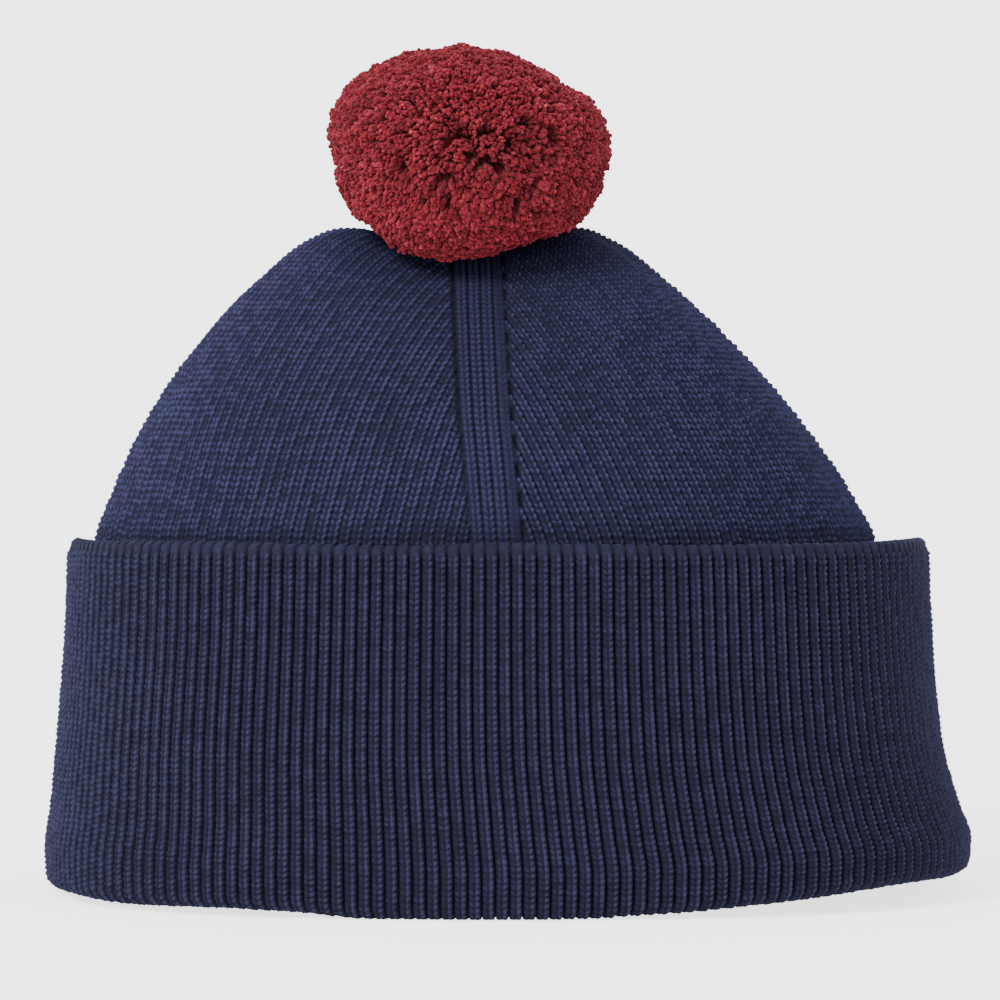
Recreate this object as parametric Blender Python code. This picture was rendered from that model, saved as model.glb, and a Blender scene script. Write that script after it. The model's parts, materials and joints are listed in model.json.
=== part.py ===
"""Pom pom beanie: a knitted hat with a deep turned-up rib cuff, a crown of four linked panels
and a cut-yarn pom pom.

Metres, +Z up; dimensions are given in millimetres and scaled as each mesh is made.
The origin is the middle of the rim's flat underside, the front faces -Y and the hat's broad way
lies along X. The hat stands on the fold of its cuff, opened to the size of an adult head.
"""

import bpy
import math
import numpy as np
from mathutils import Matrix, Vector

MM = 0.001

# ---------------------------------------------------------------- driving dimensions
CUFF_HEIGHT = 88.0          # from the fold to the cast-on edge of the turn-up
KNIT_THICK = 3.6            # rib fabric, one layer
BAND_THICK = 3.0            # inner layer of the rib, under the turn-up
CROWN_THICK = 3.0           # plain-knit crown fabric
SECTION_POWER = 2.5         # plan shape: a superellipse, a little squarer than an ellipse
AROUND = 56                 # facets round the hat; a multiple of four
CROWN_APEX = 171.0          # top of the crown before the tie draws it down
TOP_X = -11.0               # the soft crown leans a little to the wearer's right
DENT_DEPTH = 13.5           # how far the tie draws the top of the crown down
DENT_SPREAD_X, DENT_SPREAD_Y = 25.0, 31.0
YARN_R = 0.9                # radius of a linking or tie yarn
YARN_SIDES = 6
SEAM_CLEARANCE = 0.35       # between the fabric and the yarn of a seam

# Cuff's outer face: height, half-width, half-depth, x of the middle.
CUFF_STATIONS = np.array((
    (0.0, 114.2, 82.0, 0.3),
    (10.0, 114.5, 82.5, 0.4),
    (20.0, 112.4, 81.4, -0.4),
    (40.0, 109.1, 79.4, -1.9),
    (60.0, 107.4, 77.8, -2.2),
    (CUFF_HEIGHT, 106.1, 76.4, -2.2),
))

# Inner band's outer face: height, half-width, half-depth, x of the middle.
BAND_STATIONS = (
    (13.9, 99.0, 71.0, -4.0),
    (28.0, 98.9, 70.8, -4.3),
    (44.6, 98.8, 70.6, -4.6),
)

# Crown's outer face: height, half-width, half-depth, x of the middle, plan power.
CROWN_STATIONS = np.array((
    (45.0, 98.8, 70.6, -4.6, SECTION_POWER),
    (68.0, 98.4, 70.6, -5.0, SECTION_POWER),
    (86.0, 96.6, 69.8, -5.6, SECTION_POWER),
    (100.0, 90.6, 66.2, -6.7, 2.48),
    (120.0, 78.7, 59.2, -8.6, 2.42),
    (140.0, 62.2, 49.0, -10.4, 2.3),
    (153.0, 49.0, 40.0, -11.4, 2.2),
    (163.0, 37.2, 29.6, -11.8, 2.1),
    (169.0, 25.0, 18.0, -11.2, 2.0),
    (CROWN_APEX, 4.0, 4.0, TOP_X, 2.0),
))

NAVY = (0.030, 0.034, 0.085, 1.0)
NAVY_INSIDE = (0.026, 0.030, 0.072, 1.0)
BURGUNDY = (0.230, 0.018, 0.026, 1.0)
LABEL_WHITE = (0.75, 0.74, 0.70, 1.0)
KNIT_ROUGHNESS = 0.92


# ---------------------------------------------------------------- curves and sections
def smooth_track(columns, key, values):
    """Monotone cubic interpolation of each column over the track in key, one row per value."""
    key = np.asarray(key, float)
    values = np.atleast_1d(np.asarray(values, float))
    steps = np.diff(key)
    span = np.clip(np.searchsorted(key, values) - 1, 0, len(steps) - 1)
    step = steps[span]
    t = (np.clip(values, key[0], key[-1]) - key[span]) / step
    tracks = []
    for column in columns.T:
        slope = np.diff(column) / steps
        tangent = np.zeros_like(column)
        for i in range(1, len(column) - 1):
            if slope[i - 1] * slope[i] > 0:
                before = 2 * steps[i] + steps[i - 1]
                after = steps[i] + 2 * steps[i - 1]
                tangent[i] = (before + after) / (before / slope[i - 1] + after / slope[i])
        tangent[0], tangent[-1] = slope[0], slope[-1]
        tracks.append(
            (2 * t**3 - 3 * t**2 + 1) * column[span]
            + (t**3 - 2 * t**2 + t) * step * tangent[span]
            + (-2 * t**3 + 3 * t**2) * column[span + 1]
            + (t**3 - t**2) * step * tangent[span + 1]
        )
    return np.array(tracks).T


def plan_outline(half_width, half_depth, power):
    """A dense superellipse from the front round by +X: x, y and the length run so far."""
    angle = np.linspace(0, 2 * math.pi, 1441)
    across, along = np.sin(angle), -np.cos(angle)
    x = half_width * np.sign(across) * np.abs(across) ** (2 / power)
    y = half_depth * np.sign(along) * np.abs(along) ** (2 / power)
    run = np.concatenate([[0], np.cumsum(np.hypot(np.diff(x), np.diff(y)))])
    return x, y, run


def plan_point(half_width, half_depth, power, x_mid, share):
    """The point at a share of the outline's length: 0 front, 0.25 the +X side, 0.5 back."""
    x, y, run = plan_outline(half_width, half_depth, power)
    at = (share % 1.0) * run[-1]
    return float(np.interp(at, run, x) + x_mid), float(np.interp(at, run, y))


def cuff_section(z):
    """Half-width, half-depth and x of the middle of the cuff's outer face."""
    return smooth_track(CUFF_STATIONS[:, 1:], CUFF_STATIONS[:, 0], z)[0]


# Distance up the crown's side at each station, measured in height and half-width.
CROWN_KEY = np.concatenate([
    [0],
    np.cumsum([
        math.hypot(high[0] - low[0], high[1] - low[1])
        for low, high in zip(CROWN_STATIONS, CROWN_STATIONS[1:])
    ]),
])
CROWN_LENGTH = float(CROWN_KEY[-1])


def crown_section(rise):
    """Height, half-width, half-depth, middle and power of the crown at rise mm up its side."""
    return smooth_track(CROWN_STATIONS, CROWN_KEY, rise)[0]


def dent(x, y):
    return DENT_DEPTH * np.exp(-(((x - TOP_X) / DENT_SPREAD_X) ** 2) - (y / DENT_SPREAD_Y) ** 2)


def crown_point(share, rise):
    z, half_width, half_depth, x_mid, power = crown_section(rise)
    x, y = plan_point(half_width, half_depth, power, x_mid, share)
    return Vector((x, y, float(z - dent(x, y))))


def crown_normal(share, rise):
    share_step, rise_step = 0.002, 0.6
    along = crown_point(share + share_step, rise) - crown_point(share - share_step, rise)
    above = crown_point(share, min(rise + rise_step, CROWN_LENGTH))
    below = crown_point(share, max(rise - rise_step, 0))
    return along.cross(above - below).normalized()


def crown_inside_point(share, rise, depth):
    """A point at this depth under the crown's outer face."""
    return crown_point(share, rise) - crown_normal(share, rise) * depth


# ---------------------------------------------------------------- mesh and scene helpers
def clear_scene():
    for obj in list(bpy.data.objects):
        bpy.data.objects.remove(obj, do_unlink=True)


def material(name, colour, roughness):
    mat = bpy.data.materials.get(name) or bpy.data.materials.new(name)
    mat.use_nodes = True
    shader = mat.node_tree.nodes["Principled BSDF"]
    shader.inputs["Base Color"].default_value = colour
    shader.inputs["Roughness"].default_value = roughness
    shader.inputs["Metallic"].default_value = 0.0
    mat.diffuse_color = colour
    return mat


def make_object(name, vertices, faces, mat, smooth_deg=50.0, origin=(0, 0, 0)):
    """A mesh object from vertices in millimetres; origin, in millimetres, is its location."""
    start = Vector(origin)
    mesh = bpy.data.meshes.new(name)
    mesh.from_pydata([(Vector(v) - start) * MM for v in vertices], [], faces)
    mesh.validate()
    mesh.materials.append(mat)
    obj = bpy.data.objects.new(name, mesh)
    obj.location = start * MM
    bpy.context.scene.collection.objects.link(obj)
    mesh.shade_smooth()
    mesh.set_sharp_from_angle(angle=math.radians(smooth_deg))
    return obj


def box(name, centre, size, mat, origin=(0, 0, 0)):
    signs = (-1, 1)
    half = [length / 2 for length in size]
    vertices = [
        (centre[0] + i * half[0], centre[1] + j * half[1], centre[2] + k * half[2])
        for i in signs for j in signs for k in signs
    ]
    faces = [(0, 1, 3, 2), (4, 6, 7, 5), (0, 4, 5, 1), (2, 3, 7, 6), (0, 2, 6, 4), (1, 5, 7, 3)]
    return make_object(name, vertices, faces, mat, smooth_deg=30.0, origin=origin)


def ring_faces(rows, sides, closed=False, first=0):
    """Quads between successive rings of vertices; closed joins the last ring to the first."""
    faces = []
    for i in range(rows if closed else rows - 1):
        here = first + i * sides
        after = first + (i + 1) % rows * sides
        for k in range(sides):
            m = (k + 1) % sides
            faces.append((here + k, here + m, after + m, after + k))
    return faces


def full_turn(count):
    """Evenly spaced angles round one turn, without the repeated last one."""
    return np.linspace(0, 2 * math.pi, count, endpoint=False)


def tube(name, path, mat, radius=YARN_R, sides=YARN_SIDES, closed=False, origin=(0, 0, 0)):
    """A round yarn along a path, closed into a ring or capped at both ends."""
    points = [Vector(p) for p in path]
    count = len(points)
    tangents = []
    for i in range(count):
        if closed:
            chord = points[(i + 1) % count] - points[i - 1]
        else:
            chord = points[min(i + 1, count - 1)] - points[max(i - 1, 0)]
        tangents.append(chord.normalized())

    start = tangents[0]
    guide = Vector((0, 0, 1)) if abs(start.z) < 0.9 else Vector((1, 0, 0))
    normal = (guide - start * guide.dot(start)).normalized()
    frames = []
    for tangent in tangents:
        normal = (normal - tangent * normal.dot(tangent)).normalized()
        frames.append((normal.copy(), tangent.cross(normal)))
    twist = 0.0
    if closed:  # share out the angle by which the carried frame misses its start
        first, last = frames[0][0], frames[-1][0]
        end = (last - start * last.dot(start)).normalized()
        twist = math.atan2(start.dot(end.cross(first)), end.dot(first))

    vertices = []
    for i, (point, (normal, binormal)) in enumerate(zip(points, frames)):
        for k in range(sides):
            angle = 2 * math.pi * k / sides + twist * i / count
            spoke = normal * math.cos(angle) + binormal * math.sin(angle)
            vertices.append(point + spoke * radius)
    faces = ring_faces(count, sides, closed)
    if not closed:
        faces.append(tuple(reversed(range(sides))))
        faces.append(tuple((count - 1) * sides + k for k in range(sides)))
    return make_object(name, vertices, faces, mat, smooth_deg=60.0, origin=origin)


# ---------------------------------------------------------------- the rib
CURL = 7.2                          # lift of the flared +X end of the fold
CURL_START, CURL_RUN = 20.0, 82.0   # x where the curl starts, and its length along +X
CURL_POWER = 1.1
HEEL = 1.8                          # the smaller lift of the -X end
HEEL_START, HEEL_RUN = -28.0, 26.0  # x where it starts, and its length along -X
FOOT_HEIGHT = 45.0                  # height by which both lifts have died out
BACK_DROP = 3.0                     # how much lower the turned-up edge lies at the back
DROP_START_Y, DROP_RUN = -30.0, 80.0
DROP_BASE = 20.0                    # height above which the drop grows
BAND_SEAM_CLEARANCE = 0.6


def clamp(t):
    return min(max(t, 0.0), 1.0)


def ease(t):
    t = clamp(t)
    return t * t * (3 - 2 * t)


def settle(x, y, z):
    """How far the soft rib strays in height: the fold's ends lift, the edge drops at the back."""
    curl = CURL * clamp((x - CURL_START) / CURL_RUN) ** CURL_POWER
    heel = HEEL * ease((HEEL_START - x) / HEEL_RUN)
    foot = max(0.0, 1 - z / FOOT_HEIGHT) ** 2
    height_share = clamp((z - DROP_BASE) / (CUFF_HEIGHT - DROP_BASE)) ** 2
    drop = BACK_DROP * ease((y - DROP_START_Y) / DROP_RUN) * height_share
    return (curl + heel) * foot - drop


def settled(x, y, z):
    return x, y, z + settle(x, y, z)


def ring_loft(name, profile, mat):
    """A closed ring of rib. profile is a closed list of (height, half-width, half-depth, middle),
    in order so that faces look out."""
    vertices = []
    for z, half_width, half_depth, x_mid in profile:
        for k in range(AROUND):
            x, y = plan_point(half_width, half_depth, SECTION_POWER, x_mid, k / AROUND)
            vertices.append(settled(x, y, z))
    return make_object(name, vertices, ring_faces(len(profile), AROUND, closed=True), mat)


def rib_cuff(mat):
    """The turned-up rib: its outer layer, the fold it stands on, and the start of the layer
    that goes back up inside."""

    def face_points(*points):
        """Profile points from (height, inset from the cuff's outer face)."""
        profile = []
        for z, inset in points:
            half_width, half_depth, x_mid = cuff_section(z)
            profile.append((z, half_width - inset, half_depth - inset, x_mid))
        return profile

    thick = KNIT_THICK
    band_foot = 13.4
    _, band_width, band_depth, band_mid = BAND_STATIONS[0]
    top_edge = face_points(
        (CUFF_HEIGHT - 1.5, 0.0),
        (CUFF_HEIGHT - 0.3, 0.9),
        (CUFF_HEIGHT, thick / 2),
        (CUFF_HEIGHT - 0.3, thick - 0.9),
        (CUFF_HEIGHT - 1.5, thick),
    )
    inner_face = face_points(*((z, thick) for z in (66.0, 48.0, 32.0, 20.0, 11.0, 6.4)))
    inner_face += face_points((5.0, thick + 1.5))
    layer_start = [
        (6.6, 104.6, 75.2, -1.2),
        (band_foot, band_width, band_depth, band_mid),
        (band_foot, band_width - BAND_THICK, band_depth - BAND_THICK, band_mid),
        (3.8, 103.6, 72.4, -0.4),
    ]
    fold = face_points((1.0, 9.4), (0.0, 7.6), (0.0, 2.4), (0.9, 0.7))
    outer_face = face_points(*((z, 0.0) for z in (3.2, 10.0, 17.0, 26.0, 40.0, 58.0)))
    return ring_loft("rib_cuff", top_edge + inner_face + layer_start + fold + outer_face, mat)


def inner_band(mat):
    """The inner layer of the rib, from just above the fold to the start of the crown."""
    inner = [
        (z, half_width - BAND_THICK, half_depth - BAND_THICK, x_mid)
        for z, half_width, half_depth, x_mid in BAND_STATIONS
    ]
    return ring_loft("inner_band", list(BAND_STATIONS) + inner[::-1], mat)


def cuff_back_seam(mat):
    """The seam yarn up the inside of the turn-up, at the back."""
    path = []
    for z in (8.0, 20.0, 34.0, 50.0, 66.0, 83.0):
        _, half_depth, x_mid = cuff_section(z)
        path.append(settled(x_mid, half_depth - KNIT_THICK - YARN_R - SEAM_CLEARANCE, z))
    return tube("cuff_back_seam", path, mat)


def band_back_seam(mat):
    """The seam yarn up the inside of the inner band, at the back."""
    _, _, half_depth, x_mid = BAND_STATIONS[1]
    y = half_depth - BAND_THICK - YARN_R - BAND_SEAM_CLEARANCE
    path = [settled(x_mid, y, z) for z in (15.0, 24.0, 34.0, 43.5)]
    return tube("band_back_seam", path, mat)


# ---------------------------------------------------------------- the crown
PANEL_GAP = 0.5     # slit between two crown panels, where the linking runs
PANEL_COLUMNS = 9
PANEL_ROWS = 14
ROW_CROWDING = 0.10  # how much the rows crowd towards the top
HOLE_R = 7.4        # opening left in the middle of the crown's last course


def crown_rows():
    """Distances up the crown's side of the panels' rows, closer together where it curves."""
    top = CROWN_LENGTH
    while crown_section(top)[1] < HOLE_R:  # come down to where the opening has its radius
        top -= 0.25
    share = np.linspace(0, 1, PANEL_ROWS)
    return list((share + ROW_CROWDING * np.sin(math.pi * share)) * top)


def crown_panel(name, first_share, rows, mat):
    """A quarter of the crown, from a slit at first_share of the way round to the next slit."""
    outer, inner = [], []
    for rise in rows:
        _, half_width, half_depth, _, power = crown_section(rise)
        girth = plan_outline(half_width, half_depth, power)[2][-1]
        gap = PANEL_GAP / 2 / girth
        for k in range(PANEL_COLUMNS + 1):
            share = first_share + gap + (0.25 - 2 * gap) * k / PANEL_COLUMNS
            outer.append(crown_point(share, rise))
            inner.append(crown_inside_point(share, rise, CROWN_THICK))

    count, wide = len(outer), PANEL_COLUMNS + 1
    faces = []
    for i in range(len(rows) - 1):  # outer and inner faces
        for k in range(PANEL_COLUMNS):
            low = i * wide + k
            high = low + wide
            faces.append((low, low + 1, high + 1, high))
            faces.append((count + high, count + high + 1, count + low + 1, count + low))
    for i in range(len(rows) - 1):  # edges along the two slits
        low, high = i * wide, (i + 1) * wide
        faces.append((low, high, count + high, count + low))
        low, high = low + PANEL_COLUMNS, high + PANEL_COLUMNS
        faces.append((high, low, count + low, count + high))
    top = (len(rows) - 1) * wide
    for k in range(PANEL_COLUMNS):  # bottom and top edges
        faces.append((k + 1, k, count + k, count + k + 1))
        faces.append((top + k, top + k + 1, count + top + k + 1, count + top + k))
    return make_object(name, outer + inner, faces, mat)


def crown_seam(name, share, rows, mat):
    """The linking yarn of one crown seam, a ridge along the inside of the slit."""
    depth = CROWN_THICK + YARN_R + SEAM_CLEARANCE
    return tube(name, [crown_inside_point(share, rise, depth) for rise in rows[:-1]], mat)


# ---------------------------------------------------------------- the tie
CORE = Vector((-9.0, -11.5, 182.8))  # middle of the pom pom
TIE = Vector((TOP_X, 0.0, CROWN_APEX - DENT_DEPTH + 0.2))  # where the tie leaves the crown
LEAN = (CORE - TIE).normalized()  # the tie's direction, leaning forwards as the pom pom rests
SIDE = (Vector((1, 0, 0)) - LEAN * LEAN.x).normalized()  # across the tie, towards +X
AFT = LEAN.cross(SIDE)  # across the tie, towards the back
REACH = (CORE - TIE).length
LINK = 4.2  # height of the loop's bar above the crown


def on_tie(along, side=0.0, aft=0.0):
    return TIE + LEAN * along + SIDE * side + AFT * aft


def centre_binding(mat):
    """The cord wound tight round the middle of the yarn bundle."""
    ring_radius = 4.9
    path = [
        CORE + (SIDE * math.cos(angle) + AFT * math.sin(angle)) * ring_radius
        for angle in full_turn(20)
    ]
    return tube("centre_binding", path, mat, radius=1.2, closed=True, origin=CORE)


def binding_tails(mat):
    """The two tails of the binding, which go down through the pile and hook under the loop in
    one bend."""
    bend_radius = 2.1
    heights = np.linspace(REACH - 3.0, LINK + 1.0, 5)
    path = [on_tie(along, aft=-bend_radius) for along in heights]
    path += [
        on_tie(LINK - bend_radius * math.sin(angle), aft=-bend_radius * math.cos(angle))
        for angle in np.linspace(0, math.pi, 7)
    ]
    path += [on_tie(along, aft=bend_radius) for along in heights[::-1]]
    return tube("binding_tails", path, mat, origin=on_tie(LINK))


def attachment_loop(mat):
    """A loop of yarn sewn through the top of the crown, whose bar the tails hang on."""
    half_span, corner = 2.7, 1.5
    shoulder = LINK - corner
    heights = (-1.0, 0.6, shoulder)
    angles = np.linspace(0.35, math.pi / 2, 4)

    def corner_point(angle, sign):
        side = sign * (half_span - corner * (1 - math.cos(angle)))
        return on_tie(shoulder + corner * math.sin(angle), side)

    path = [on_tie(along, -half_span) for along in heights]
    path += [corner_point(angle, -1) for angle in angles]
    path += [corner_point(angle, 1) for angle in angles[::-1]]
    path += [on_tie(along, half_span) for along in heights[::-1]]
    return tube("attachment_loop", path, mat, radius=0.8, origin=TIE)


def gather_yarn(mat):
    """The yarn drawn through the last course of the crown to close it."""
    ring_radius, below_tie = 5.0, 1.6
    path = [
        TIE + Vector((ring_radius * math.cos(angle), ring_radius * math.sin(angle), -below_tie))
        for angle in full_turn(20)
    ]
    return tube("gather_yarn", path, mat, closed=True)


def inside_knot(mat):
    """The trefoil knot that holds the loop, inside the crown."""
    centre, size = TIE + Vector((0, 0, -7.4)), 1.3
    path = []
    for angle in full_turn(42):
        x = math.sin(angle) + 2 * math.sin(2 * angle)
        y = math.cos(angle) - 2 * math.cos(2 * angle)
        path.append(centre + Vector((x, y, -1.3 * math.sin(3 * angle))) * size)
    return tube("inside_knot", path, mat, radius=0.85, sides=5, closed=True)


# ---------------------------------------------------------------- the pom pom
POM_HALF_X, POM_HALF_Y, POM_HALF_Z = 34.6, 33.6, 27.6
POM_HANG = 0.80          # slope at which the front of the pile hangs over the crown's front
POM_AROUND, POM_RINGS = 26, 14
LUMP_BROAD, LUMP_FINE = 0.022, 0.018  # height of the soft lumps, as a share of the radius
POLE_SHIFT = 3.6         # how far the top and bottom lean to -X
HANG_SOFTNESS = 0.12     # how softly the hanging slope sets in
SIDE_FULLNESS = 0.03     # extra depth of the lower half on the +X side

NOD_DEG = (-14.0, 4.0)   # the pom pom flops from back to front on its tie
SWAY_DEG = (-9.0, 9.0)
SIDE_GAP, TOP_GAP = 1.6, 1.5  # clearance kept from the crown at every flop
LEAST_SHARE = 0.25       # the furthest a point is drawn in towards the core

# The hollow for the tie.
POCKET_R = 8.8           # round the loop
CHANNEL_R = 4.2          # narrow way for the tails
CHAMBER_R = 7.4          # round the binding
CHAMBER_HALF = 2.6       # half-length of the chamber's full-width part
CHAMBER_END = 3.4        # half-length of the chamber with its sloped ends
CUTTER_FOOT = -12.0      # where the cutter starts, below the crown's top
CUTTER_SIDES = 20


def pom_point(theta, phi):
    """The outside of the cut yarn, from the core: a broad ball, fuller on one side, with low,
    soft lumps."""
    x = math.cos(phi) * math.cos(theta)
    y = math.cos(phi) * math.sin(theta)
    z = math.sin(phi)
    lump = (
        1
        + LUMP_BROAD * math.sin(3 * theta + 1.1) * math.cos(2 * phi)
        + LUMP_FINE * math.sin(5 * theta + 4 * phi)
    )
    # Close to nought over the upper half, turning softly into the slope under it.
    below = (z - math.sqrt(z * z + HANG_SOFTNESS)) / 2
    hang = POM_HANG * POM_HALF_Z * below * (1 - 0.10 * y - 0.60 * y * y)
    fullness = SIDE_FULLNESS * x * (1 if z < 0 else -0.4)
    return Vector((
        POM_HALF_X * x * lump - POLE_SHIFT * z * z * (1 - x * x),
        POM_HALF_Y * y * lump + hang,
        POM_HALF_Z * z * (1 + fullness),
    ))


def inside_crown(points):
    """Which points lie in the crown or nearer to it than the gaps."""
    x, y, z = points.T
    undented = z + dent(x, y) - TOP_GAP
    heights = CROWN_STATIONS[:, 0]
    sections = smooth_track(
        CROWN_STATIONS[:, 1:], heights, np.clip(undented, heights[0], heights[-1])
    )
    half_width, half_depth, x_mid, power = sections.T
    across = (np.abs(x - x_mid) / (half_width + SIDE_GAP)) ** power
    along = (np.abs(y) / (half_depth + SIDE_GAP)) ** power
    return (undented < heights[-1]) & (across + along < 1)


def rotation(axis, degrees):
    return np.array(Matrix.Rotation(math.radians(degrees), 3, axis))


def touches_crown(away, share):
    """Which points, at this share of their way out from the core, meet the crown as the pom pom
    sways about the loop's bar and nods about the foot of the tie."""
    bar, foot = np.array(on_tie(LINK)), np.array(TIE)
    points = np.array(CORE) + away * share[:, None]
    hit = np.zeros(len(away), bool)
    for nod_deg in np.linspace(*NOD_DEG, 13):
        nod = rotation("X", nod_deg)
        for sway_deg in np.linspace(*SWAY_DEG, 5):
            sway = rotation("Y", sway_deg)
            hit |= inside_crown(((points - bar) @ sway.T + bar - foot) @ nod.T + foot)
    return hit


def clear_share(away):
    """How far out each point may lie so that the pom pom clears the crown at every flop."""
    high = np.ones(len(away))
    low = np.where(touches_crown(away, high), LEAST_SHARE, 1.0)
    for _ in range(11):
        share = (low + high) / 2
        hit = touches_crown(away, share)
        high = np.where(hit, share, high)
        low = np.where(hit, low, share)
    for _ in range(4):  # level out the pulled-in patch, inwards only
        grid = low[1:-1].reshape(POM_RINGS - 1, POM_AROUND)
        mean = (np.roll(grid, 1, 1) + np.roll(grid, -1, 1) + grid) / 3
        mean[1:-1] = (mean[:-2] + mean[1:-1] + mean[2:]) / 3
        low[1:-1] = np.minimum(grid, mean).ravel()
    return low


def tie_channel_cutter(mat):
    """The way in from below for the tie: a pocket round the loop, a channel for the tails and a
    chamber for the binding."""
    # Distance along the tie, radius.
    profile = [(CUTTER_FOOT, POCKET_R)]
    profile += [
        (POCKET_R * math.sin(angle), POCKET_R * math.cos(angle))
        for angle in np.linspace(-0.35, 1.10, 7)
    ]
    profile += [
        (REACH - CHAMBER_END, CHANNEL_R),
        (REACH - CHAMBER_HALF, CHAMBER_R),
        (REACH + CHAMBER_HALF, CHAMBER_R),
        (REACH + CHAMBER_END, 6.2),
    ]
    sides = CUTTER_SIDES
    vertices = [on_tie(CUTTER_FOOT)]
    for along, radius in profile:
        for k in range(sides):
            angle = 2 * math.pi * k / sides
            vertices.append(on_tie(along, radius * math.cos(angle), radius * math.sin(angle)))
    vertices.append(on_tie(REACH + CHAMBER_END))

    end = len(vertices) - 1
    last_ring = end - sides
    faces = []
    for k in range(sides):
        m = (k + 1) % sides
        faces.append((0, 1 + m, 1 + k))
        faces.append((end, last_ring + k, last_ring + m))
    faces += ring_faces(len(profile), sides, first=1)
    cutter = make_object("tie_channel_cutter", vertices, faces, mat)
    cutter.hide_render = True
    cutter.display_type = "WIRE"
    return cutter


def pompom_pile(mat):
    """The cut yarn, hollowed from below for the tie."""
    directions = [pom_point(0, math.pi / 2)]
    for i in range(1, POM_RINGS):
        phi = math.pi / 2 - math.pi * i / POM_RINGS
        directions += [pom_point(2 * math.pi * k / POM_AROUND, phi) for k in range(POM_AROUND)]
    directions.append(pom_point(0, -math.pi / 2))
    away = np.array([tuple(v) for v in directions])
    vertices = [CORE + Vector(v) for v in away * clear_share(away)[:, None]]

    end = len(vertices) - 1
    last_ring = end - POM_AROUND
    faces = [(0, 1 + k, 1 + (k + 1) % POM_AROUND) for k in range(POM_AROUND)]
    # The rings run downwards, so each quad is turned over to look out.
    quads = ring_faces(POM_RINGS - 1, POM_AROUND, first=1)
    faces += [(quad[0], quad[3], quad[2], quad[1]) for quad in quads]
    faces += [
        (end, last_ring + (k + 1) % POM_AROUND, last_ring + k) for k in range(POM_AROUND)
    ]
    obj = make_object("pompom_pile", vertices, faces, mat, smooth_deg=60.0, origin=CORE)

    cut = obj.modifiers.new("tie_channel", "BOOLEAN")
    cut.operation = "DIFFERENCE"
    cut.solver = "EXACT"
    cut.object = tie_channel_cutter(mat)
    return obj


# ---------------------------------------------------------------- the label
LABEL_WIDTH, LABEL_THICK, LABEL_DROP = 24.0, 0.6, 32.0
LABEL_TOP = Vector((13.5, 63.6, 54.0))  # middle of the label's sewn top edge


def care_label(mat):
    """A plain woven label, sewn in by its top edge beside the back seam."""
    centre = LABEL_TOP + Vector((0, 0, -LABEL_DROP / 2))
    size = (LABEL_WIDTH, LABEL_THICK, LABEL_DROP)
    obj = box("care_label", centre, size, mat, origin=LABEL_TOP)
    bevel = obj.modifiers.new("soft_edge", "BEVEL")
    bevel.width = 0.15 * MM
    bevel.segments = 1
    bevel.limit_method = "ANGLE"
    return obj


def label_stitches(mat):
    """The row of stitches that holds the label to the crown."""
    side_margin, height, raise_z = 2.0, 1.0, 0.9
    y_back = crown_point(0.5, 8.0).y - CROWN_THICK - 2.4
    y_front = LABEL_TOP.y - LABEL_THICK / 2
    centre = (LABEL_TOP.x, (y_back + y_front) / 2, LABEL_TOP.z + raise_z)
    return box(
        "label_stitches", centre, (LABEL_WIDTH - side_margin, y_back - y_front, height), mat
    )


# ---------------------------------------------------------------- assembly
# Name, parent and place of each empty that carries a group of pieces; parents come first.
FRAMES = (
    ("cuff_frame", None, Vector((0, 0, 0))),
    ("crown_frame", "cuff_frame", Vector((0, 0, 0))),
    ("loop_frame", "crown_frame", TIE),
    ("tails_frame", "loop_frame", on_tie(LINK)),
    ("pompom_frame", "tails_frame", CORE),
    ("label_frame", "crown_frame", LABEL_TOP),
)


def build_frames():
    """The empties, as a dictionary of (empty, place) by name."""
    frames = {}
    for name, parent, place in FRAMES:
        empty = bpy.data.objects.new(name, None)
        empty.empty_display_size = 0.01
        bpy.context.scene.collection.objects.link(empty)
        base = Vector((0, 0, 0))
        if parent:
            empty.parent, base = frames[parent]
        empty.location = (place - base) * MM
        frames[name] = (empty, place)
    return frames


def attach(frame, *objects):
    """Parent objects to a frame and keep them where they are."""
    empty, place = frame
    for obj in objects:
        obj.parent = empty
        obj.location = obj.location - place * MM


def main():
    clear_scene()
    navy = material("navy_rib", colour=NAVY, roughness=KNIT_ROUGHNESS)
    crown_navy = material("navy_crown", colour=NAVY, roughness=KNIT_ROUGHNESS)
    inside = material("navy_inside", colour=NAVY_INSIDE, roughness=KNIT_ROUGHNESS)
    red = material("burgundy_yarn", colour=BURGUNDY, roughness=0.95)
    white = material("label_white", colour=LABEL_WHITE, roughness=0.8)

    frames = build_frames()
    crown = frames["crown_frame"]
    rows = crown_rows()
    for k, side in enumerate(("front_right", "back_right", "back_left", "front_left")):
        attach(crown, crown_panel(f"crown_panel_{side}", k / 4, rows, crown_navy))
    for k, side in enumerate(("front", "right", "back", "left")):
        attach(crown, crown_seam(f"crown_seam_{side}", k / 4, rows, inside))
    attach(crown, inner_band(inside), band_back_seam(inside))
    attach(crown, gather_yarn(crown_navy), inside_knot(red), label_stitches(white))
    attach(frames["cuff_frame"], rib_cuff(navy), cuff_back_seam(inside))
    attach(frames["loop_frame"], attachment_loop(red))
    attach(frames["tails_frame"], binding_tails(red))
    attach(frames["pompom_frame"], pompom_pile(red), centre_binding(red))
    attach(frames["label_frame"], care_label(white))


main()
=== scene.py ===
"""Looks of a pom pom beanie: knitted rib cuff, fashioned crown panels and a cut-yarn pom pom.

The hat stands on z = 0 with its front to -Y and its right side at +X. Sizes are in millimetres
until a mesh is made. Places round the hat are shares of a plan outline: 0 is the front, 0.25 the
+X side, 0.5 the back and 0.75 the -X side.
"""

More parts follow.
